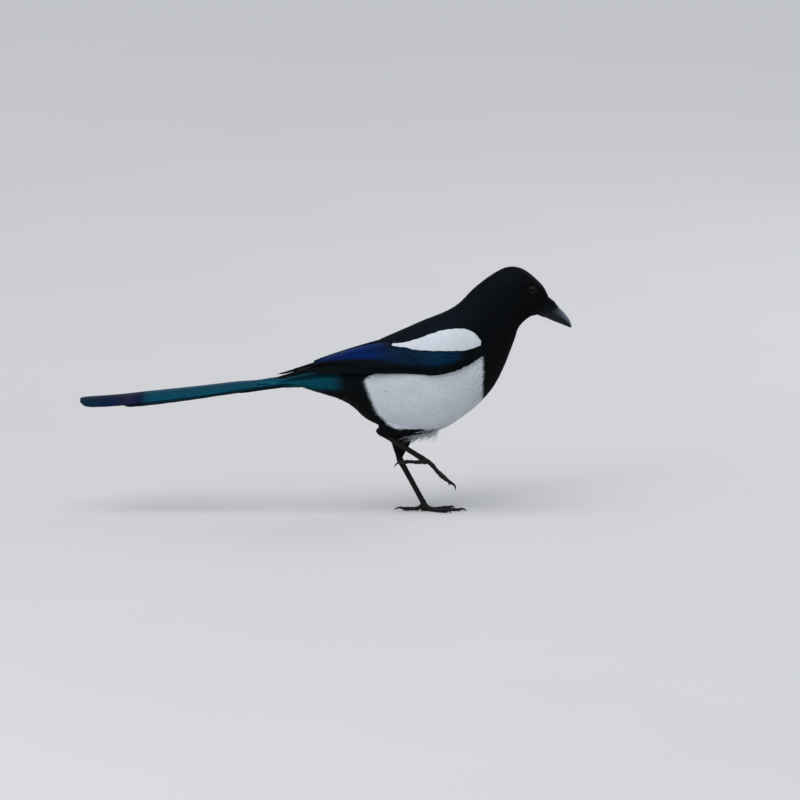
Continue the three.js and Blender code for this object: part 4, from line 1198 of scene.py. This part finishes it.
def eyeBall(left):
    # polar is the angle from the middle of the pupil, in degrees
    look, out = eyeLook, eyeAim(left)
    forward = unit(np.cross(np.array([0, 0, 1.0]), out))
    up = np.cross(out, forward)
    polar = np.radians(np.linspace(1.5, 178.5, look["rings"]))[:, None]
    turn = np.linspace(0, 2 * np.pi, look["around"], endpoint=False)[None, :, None]
    radius = eyePlan["radius"] + look["cornea"] * ease(38, 18, np.degrees(polar))
    spoke = forward * np.cos(turn) + up * np.sin(turn)
    aim = out * np.cos(polar)[..., None] + spoke * np.sin(polar)[..., None]
    points, faces = closedRings(eyeCentre(left) + aim * radius[..., None])
    return points, faces, {"polar": np.append(np.degrees(polar).repeat(look["around"], 1), [0, 180])}


def eyeMaterial():
    material = newMaterial("eyeWet", Roughness=0.03, Specular_IOR_Level=0.1)
    iris = mapped(material, attributeOf(material, "polar"), *eyeLook["pupil"])
    brown = blendColour(material, noiseOf(material, 1500.0, 4.0), *eyeLook["brown"])
    wire(material, "Base Color", blendColour(material, iris, eyeLook["black"], brown))
    return material


def lidShell(left):
    # an oval ring of thin skin, with fine wrinkles along it
    look, out = eyeLook, eyeAim(left)
    forward = unit(np.array([1, 0, look["lidTilt"]]) + out * (-look["lidTilt"] * out[2] - out[0]))
    up = np.cross(out, forward)
    longer, taller = eyePlan["lid"]
    rows, columns = look["lidRings"]
    turn = np.linspace(0, 2 * np.pi, rows, endpoint=False)[:, None, None]
    ring = np.linspace(0, 2 * np.pi, columns, endpoint=False)[None, :, None]
    spoke = forward * longer * np.cos(turn) + up * taller * np.sin(turn)
    wide = eyePlan["lidWidth"] * (1 + look["wrinkle"] * np.sin(3 * ring + 0.8 * np.sin(9 * turn)))
    centre = eyeCentre(left) + out * (eyePlan["sink"] - look["lidHeight"])
    rings = centre + spoke + unit(spoke) * wide * np.cos(ring) + out * look["lidFlat"] * wide * np.sin(ring)
    return rings.reshape(-1, 3), [gridFaces(rows + 1, columns, closed=True) % (rows * columns)]


def lidMaterial():
    material = newMaterial("lidSkin", Roughness=0.55, Specular_IOR_Level=0.1)
    grain = noiseOf(material, 1400.0)
    wire(material, "Base Color", blendColour(material, grain, *eyeLook["lid"]))
    bumpOf(material, grain, 0.4, 0.00006)
    return material


eyeWet, lidSkin = eyeMaterial(), lidMaterial()
for side, left in (("left", 1), ("right", -1)):
    finishPiece(makeMesh(f"eye_{side}_ball", *eyeBall(left)), eyeWet, "eye", f"eye_{side}")
    finishPiece(makeMesh(f"lid_{side}", *lidShell(left)), lidSkin, "black_plumage")
print("eyes set")


# Shanks and toes, with scutes down the front and on top of the toes
footPlan = {
    "toes": {
        "inner": {"yaw": 30, "lengths": [4.5, 4.5, 6, 5, 4], "claw": 6.5},
        "middle": {"yaw": 2, "lengths": [4.5, 5, 8, 8, 6.5], "claw": 8.5},
        "outer": {"yaw": -26, "lengths": [4.5, 5, 6, 6, 5], "claw": 6.5},
        "hind": {"yaw": 184, "lengths": [4, 3.5, 4, 4.5, 3], "claw": 10},
    },
    "left": {"pitch": [44, 24, 2, 0, 0], "hindPitch": [44, 24, 2, 0, 0], "claw": [-20, 12, 34],
             "hindClaw": [-18, 10, 30], "inward": -1, "spread": 1},
    "right": {"pitch": [28, 40, 50, 44, 38], "hindPitch": [30, 4, -6, 0, 6], "claw": [30, 62, 88],
              "hindClaw": [2, 30, 60], "inward": 1, "spread": 0.6},
    "radii": [2.3, 1.95, 1.75, 1.5, 1.75, 1.43],
    "bulge": 0.1,
    "clawRadii": [[0, 1.25], [0.25, 1.3], [0.5, 1.02], [0.75, 0.66], [1, 0.12]],
    "shankRadii": [[0, 1.3], [0.04, 2.6], [0.08, 3.1], [0.16, 2.65], [0.25, 2.45], [0.8, 2.35], [0.92, 2.5],
                   [1, 2.7]],
    "flat": {"shank": 0.72, "toe": 0.9, "claw": 0.72},
    "rings": {"shank": (150, 28), "toe": (110, 24), "claw": (36, 18)},
    "scutes": 11,
    "toeScute": 2.1,
    "scuteRise": 0.3,
    "pad": {"left": -4.1, "right": -1.4, "ahead": 0.4, "half": (3.4, 3.0, 3.0)},
}


def scuteProfile(share, count, angle, front):
    # each scute swells down to its lower edge, on the front half only
    saw = (share * count) % 1
    return footPlan["scuteRise"] * (saw ** 1.5 - 0.35) * ease(0.05, 0.5, np.cos(np.radians(angle - front)))


def walk(start, yaw, lengths, pitches):
    points = [np.array(start, float)]
    turn = math.radians(yaw)
    for length, pitch in zip(lengths, pitches):
        level = math.cos(math.radians(pitch)) * length
        fall = math.sin(math.radians(pitch)) * length
        points.append(points[-1] + [level * math.cos(turn), level * math.sin(turn), -fall])
    return np.array(points)


def outward(shell):
    # turns a closed shell's faces outward
    points, groups = shell
    total = 0
    for faces in groups:
        a, b, c = points[faces[:, 0]], points[faces[:, 1]], points[faces[:, 2]]
        total += dot(a, np.cross(b, c)).sum()
        if faces.shape[1] == 4:
            total += dot(a, np.cross(c, points[faces[:, 3]])).sum()
    return points, [faces[:, ::-1] for faces in groups] if total < 0 else groups


def footTube(kind, path, radius, scutes=lambda share, angle: 0):
    share, angle = ringGrid(1, *footPlan["rings"][kind])
    rings = tubePoint(path, radius, footPlan["flat"][kind], share, angle, scutes(share, angle))
    return outward(closedRings(rings))


def shankShell(leg):
    ankle, foot = np.array(leg["ankle"], float), np.array(leg["foot"], float)
    start = ankle - unit(foot - ankle) * 2.6
    path = smoothPath([start, *(mix(ankle, foot, share) for share in (0.25, 0.5, 0.75)), foot])
    scutes = lambda share, angle: scuteProfile(np.clip((share - 0.1) / 0.86, 0, 1), footPlan["scutes"],
                                               angle, 270)
    return footTube("shank", path, lineThrough(footPlan["shankRadii"]), scutes)


def toeShells(side, name, toe):
    pose, hind = footPlan[side], name == "hind"
    pitch, claw = ("hindPitch", "hindClaw") if hind else ("pitch", "claw")
    yaw = toe["yaw"] if hind else pose["inward"] * toe["yaw"] * pose["spread"]
    points = walk(legs[side]["foot"], yaw, toe["lengths"], pose[pitch])
    radii = lineThrough([[i / 5, radius] for i, radius in enumerate(footPlan["radii"])])
    radius = lambda share: radii(share) + footPlan["bulge"] * np.cos(share * 5 * 2 * np.pi)
    count = round(sum(toe["lengths"]) / footPlan["toeScute"])
    scutes = lambda share, angle: scuteProfile(share, count, angle, 90 if hind else 270)
    back = points[-1] - (points[-1] - points[-2]) * 0.25
    nail = walk(points[-1], yaw, [toe["claw"] / 3] * 3, pose[claw])
    return (footTube("toe", smoothPath(points), radius, scutes),
            footTube("claw", smoothPath([back, *nail]), lineThrough(footPlan["clawRadii"])))


def padShell(side):
    pad = footPlan["pad"]
    centre = np.array(legs[side]["foot"], float) + [pad["ahead"], 0, pad[side]]
    polar = np.linspace(0.06, np.pi - 0.06, 24)[:, None]
    turn = np.linspace(0, 2 * np.pi, 32, endpoint=False)[None, :]
    ball = point(np.sin(polar) * np.cos(turn), np.sin(polar) * np.sin(turn), np.cos(polar))
    return outward(closedRings(centre + ball * pad["half"]))


def onFloor(points, faces):
    return np.maximum(points, [-np.inf, -np.inf, 0]), faces


legLook = {
    "skin": ((0.0018, 0.0019, 0.0022, 1), (0.006, 0.006, 0.0066, 1)),
    "rough": (0.38, 0.62),
    "cells": 1500.0,
}


def legMaterial():
    material = newMaterial("legScutes", Roughness=0.5, Specular_IOR_Level=0.15)
    grain, patches = noiseOf(material, 700.0, 4.0), noiseOf(material, 130.0, 2.0)
    inputs = {"Vector": positionOf(material), "Scale": legLook["cells"]}
    cells = addNode(material, "ShaderNodeTexVoronoi", inputs).outputs["Distance"]
    wire(material, "Base Color", blendColour(material, patches, *legLook["skin"]))
    wire(material, "Roughness", between(material, grain, *legLook["rough"]))
    bumpOf(material, reckon(material, "ADD", cells, grain), 0.35, 0.00008)
    return material


legScutes, clawHorn = legMaterial(), hornMaterial("clawHorn", False)
for side, leg in legs.items():
    finishPiece(makeMesh(f"shank_{side}_scutes", *shankShell(leg)), legScutes, "leg_skin", f"shank_{side}")
    toes, nails = zip(*[toeShells(side, name, toe) for name, toe in footPlan["toes"].items()])
    foot = onFloor(*joinShells([*toes, padShell(side)]))
    finishPiece(makeMesh(f"foot_{side}_toes", *foot), legScutes, "leg_skin", f"foot_{side}")
    finishPiece(makeMesh(f"claws_{side}", *onFloor(*joinShells(nails))), clawHorn, "leg_skin")
print("legs made")


# Camera at the photograph's viewing angle
view = {"aim": (-21.1, 0, 98.9), "distance": 8000, "elevation": 9, "field": 704, "sensor": 36}
camera = addObject("camera", bpy.data.cameras.new("camera"))
tilt = math.radians(view["elevation"])
away = np.array([0, -math.cos(tilt), math.sin(tilt)]) * view["distance"]
camera.location = [float(v) for v in (np.array(view["aim"]) + away) * mm]
camera.rotation_euler = (math.pi / 2 - tilt, 0, 0)
camera.data.sensor_width = view["sensor"]
camera.data.lens = view["sensor"] * view["distance"] / view["field"]
camera.data.clip_end = 100
bpy.context.scene.camera = camera

# Pale floor and soft studio light, with the lamps' places and sizes in metres
studio = {
    "floor": ((0.6, 0.6, 0.595, 1), (0.63, 0.63, 0.625, 1)),
    "floorHalf": 30000,
    "middle": (-0.02, 0, 0.11),  # what the lamps point at
    "sky": (0.86, 0.9, 1.0, 1),
    "skyStrength": 0.5,
    "sun": {"strength": 1.45, "softness": 50, "lean": (18, -12)},
    "lamps": {
        "key": {"place": (-1.2, -2.0, 1.7), "size": 1.4, "watts": 16},
        "rim": {"place": (1.3, 1.4, 1.5), "size": 1.2, "watts": 8},
    },
}


def makeFloor():
    corners = np.array([[-1, -1], [1, -1], [1, 1], [-1, 1]]) * studio["floorHalf"]
    floor = makeMesh("floor", point(corners[:, 0], corners[:, 1], 0.0), [np.array([[0, 1, 2, 3]])])
    material = newMaterial("paleFloor", Roughness=0.85)
    wire(material, "Base Color", blendColour(material, noiseOf(material, 3.0, 2.0), *studio["floor"]))
    floor.data.materials.append(material)


def makeLamps():
    for name, lamp in studio["lamps"].items():
        made = addObject(name, bpy.data.lights.new(name, "AREA"))
        made.data.shape, made.data.size, made.data.energy = "DISK", lamp["size"], lamp["watts"]
        made.location = lamp["place"]
        x, y, z = np.array(studio["middle"]) - lamp["place"]
        made.rotation_euler = (math.atan2(math.hypot(x, y), -z), 0, math.atan2(y, x) - math.pi / 2)
    sun = addObject("overhead", bpy.data.lights.new("overhead", "SUN"))
    sun.data.energy, sun.data.angle = studio["sun"]["strength"], math.radians(studio["sun"]["softness"])
    sun.rotation_euler = [math.radians(lean) for lean in (*studio["sun"]["lean"], 0)]


def makeSky():
    world = bpy.data.worlds.new("studio")
    world.use_nodes = True
    backdrop = world.node_tree.nodes["Background"]
    backdrop.inputs["Color"].default_value = studio["sky"]
    backdrop.inputs["Strength"].default_value = studio["skyStrength"]
    bpy.context.scene.world = world
    bpy.context.scene.view_settings.view_transform = "Standard"


makeFloor()
makeLamps()
makeSky()
print("studio lit")
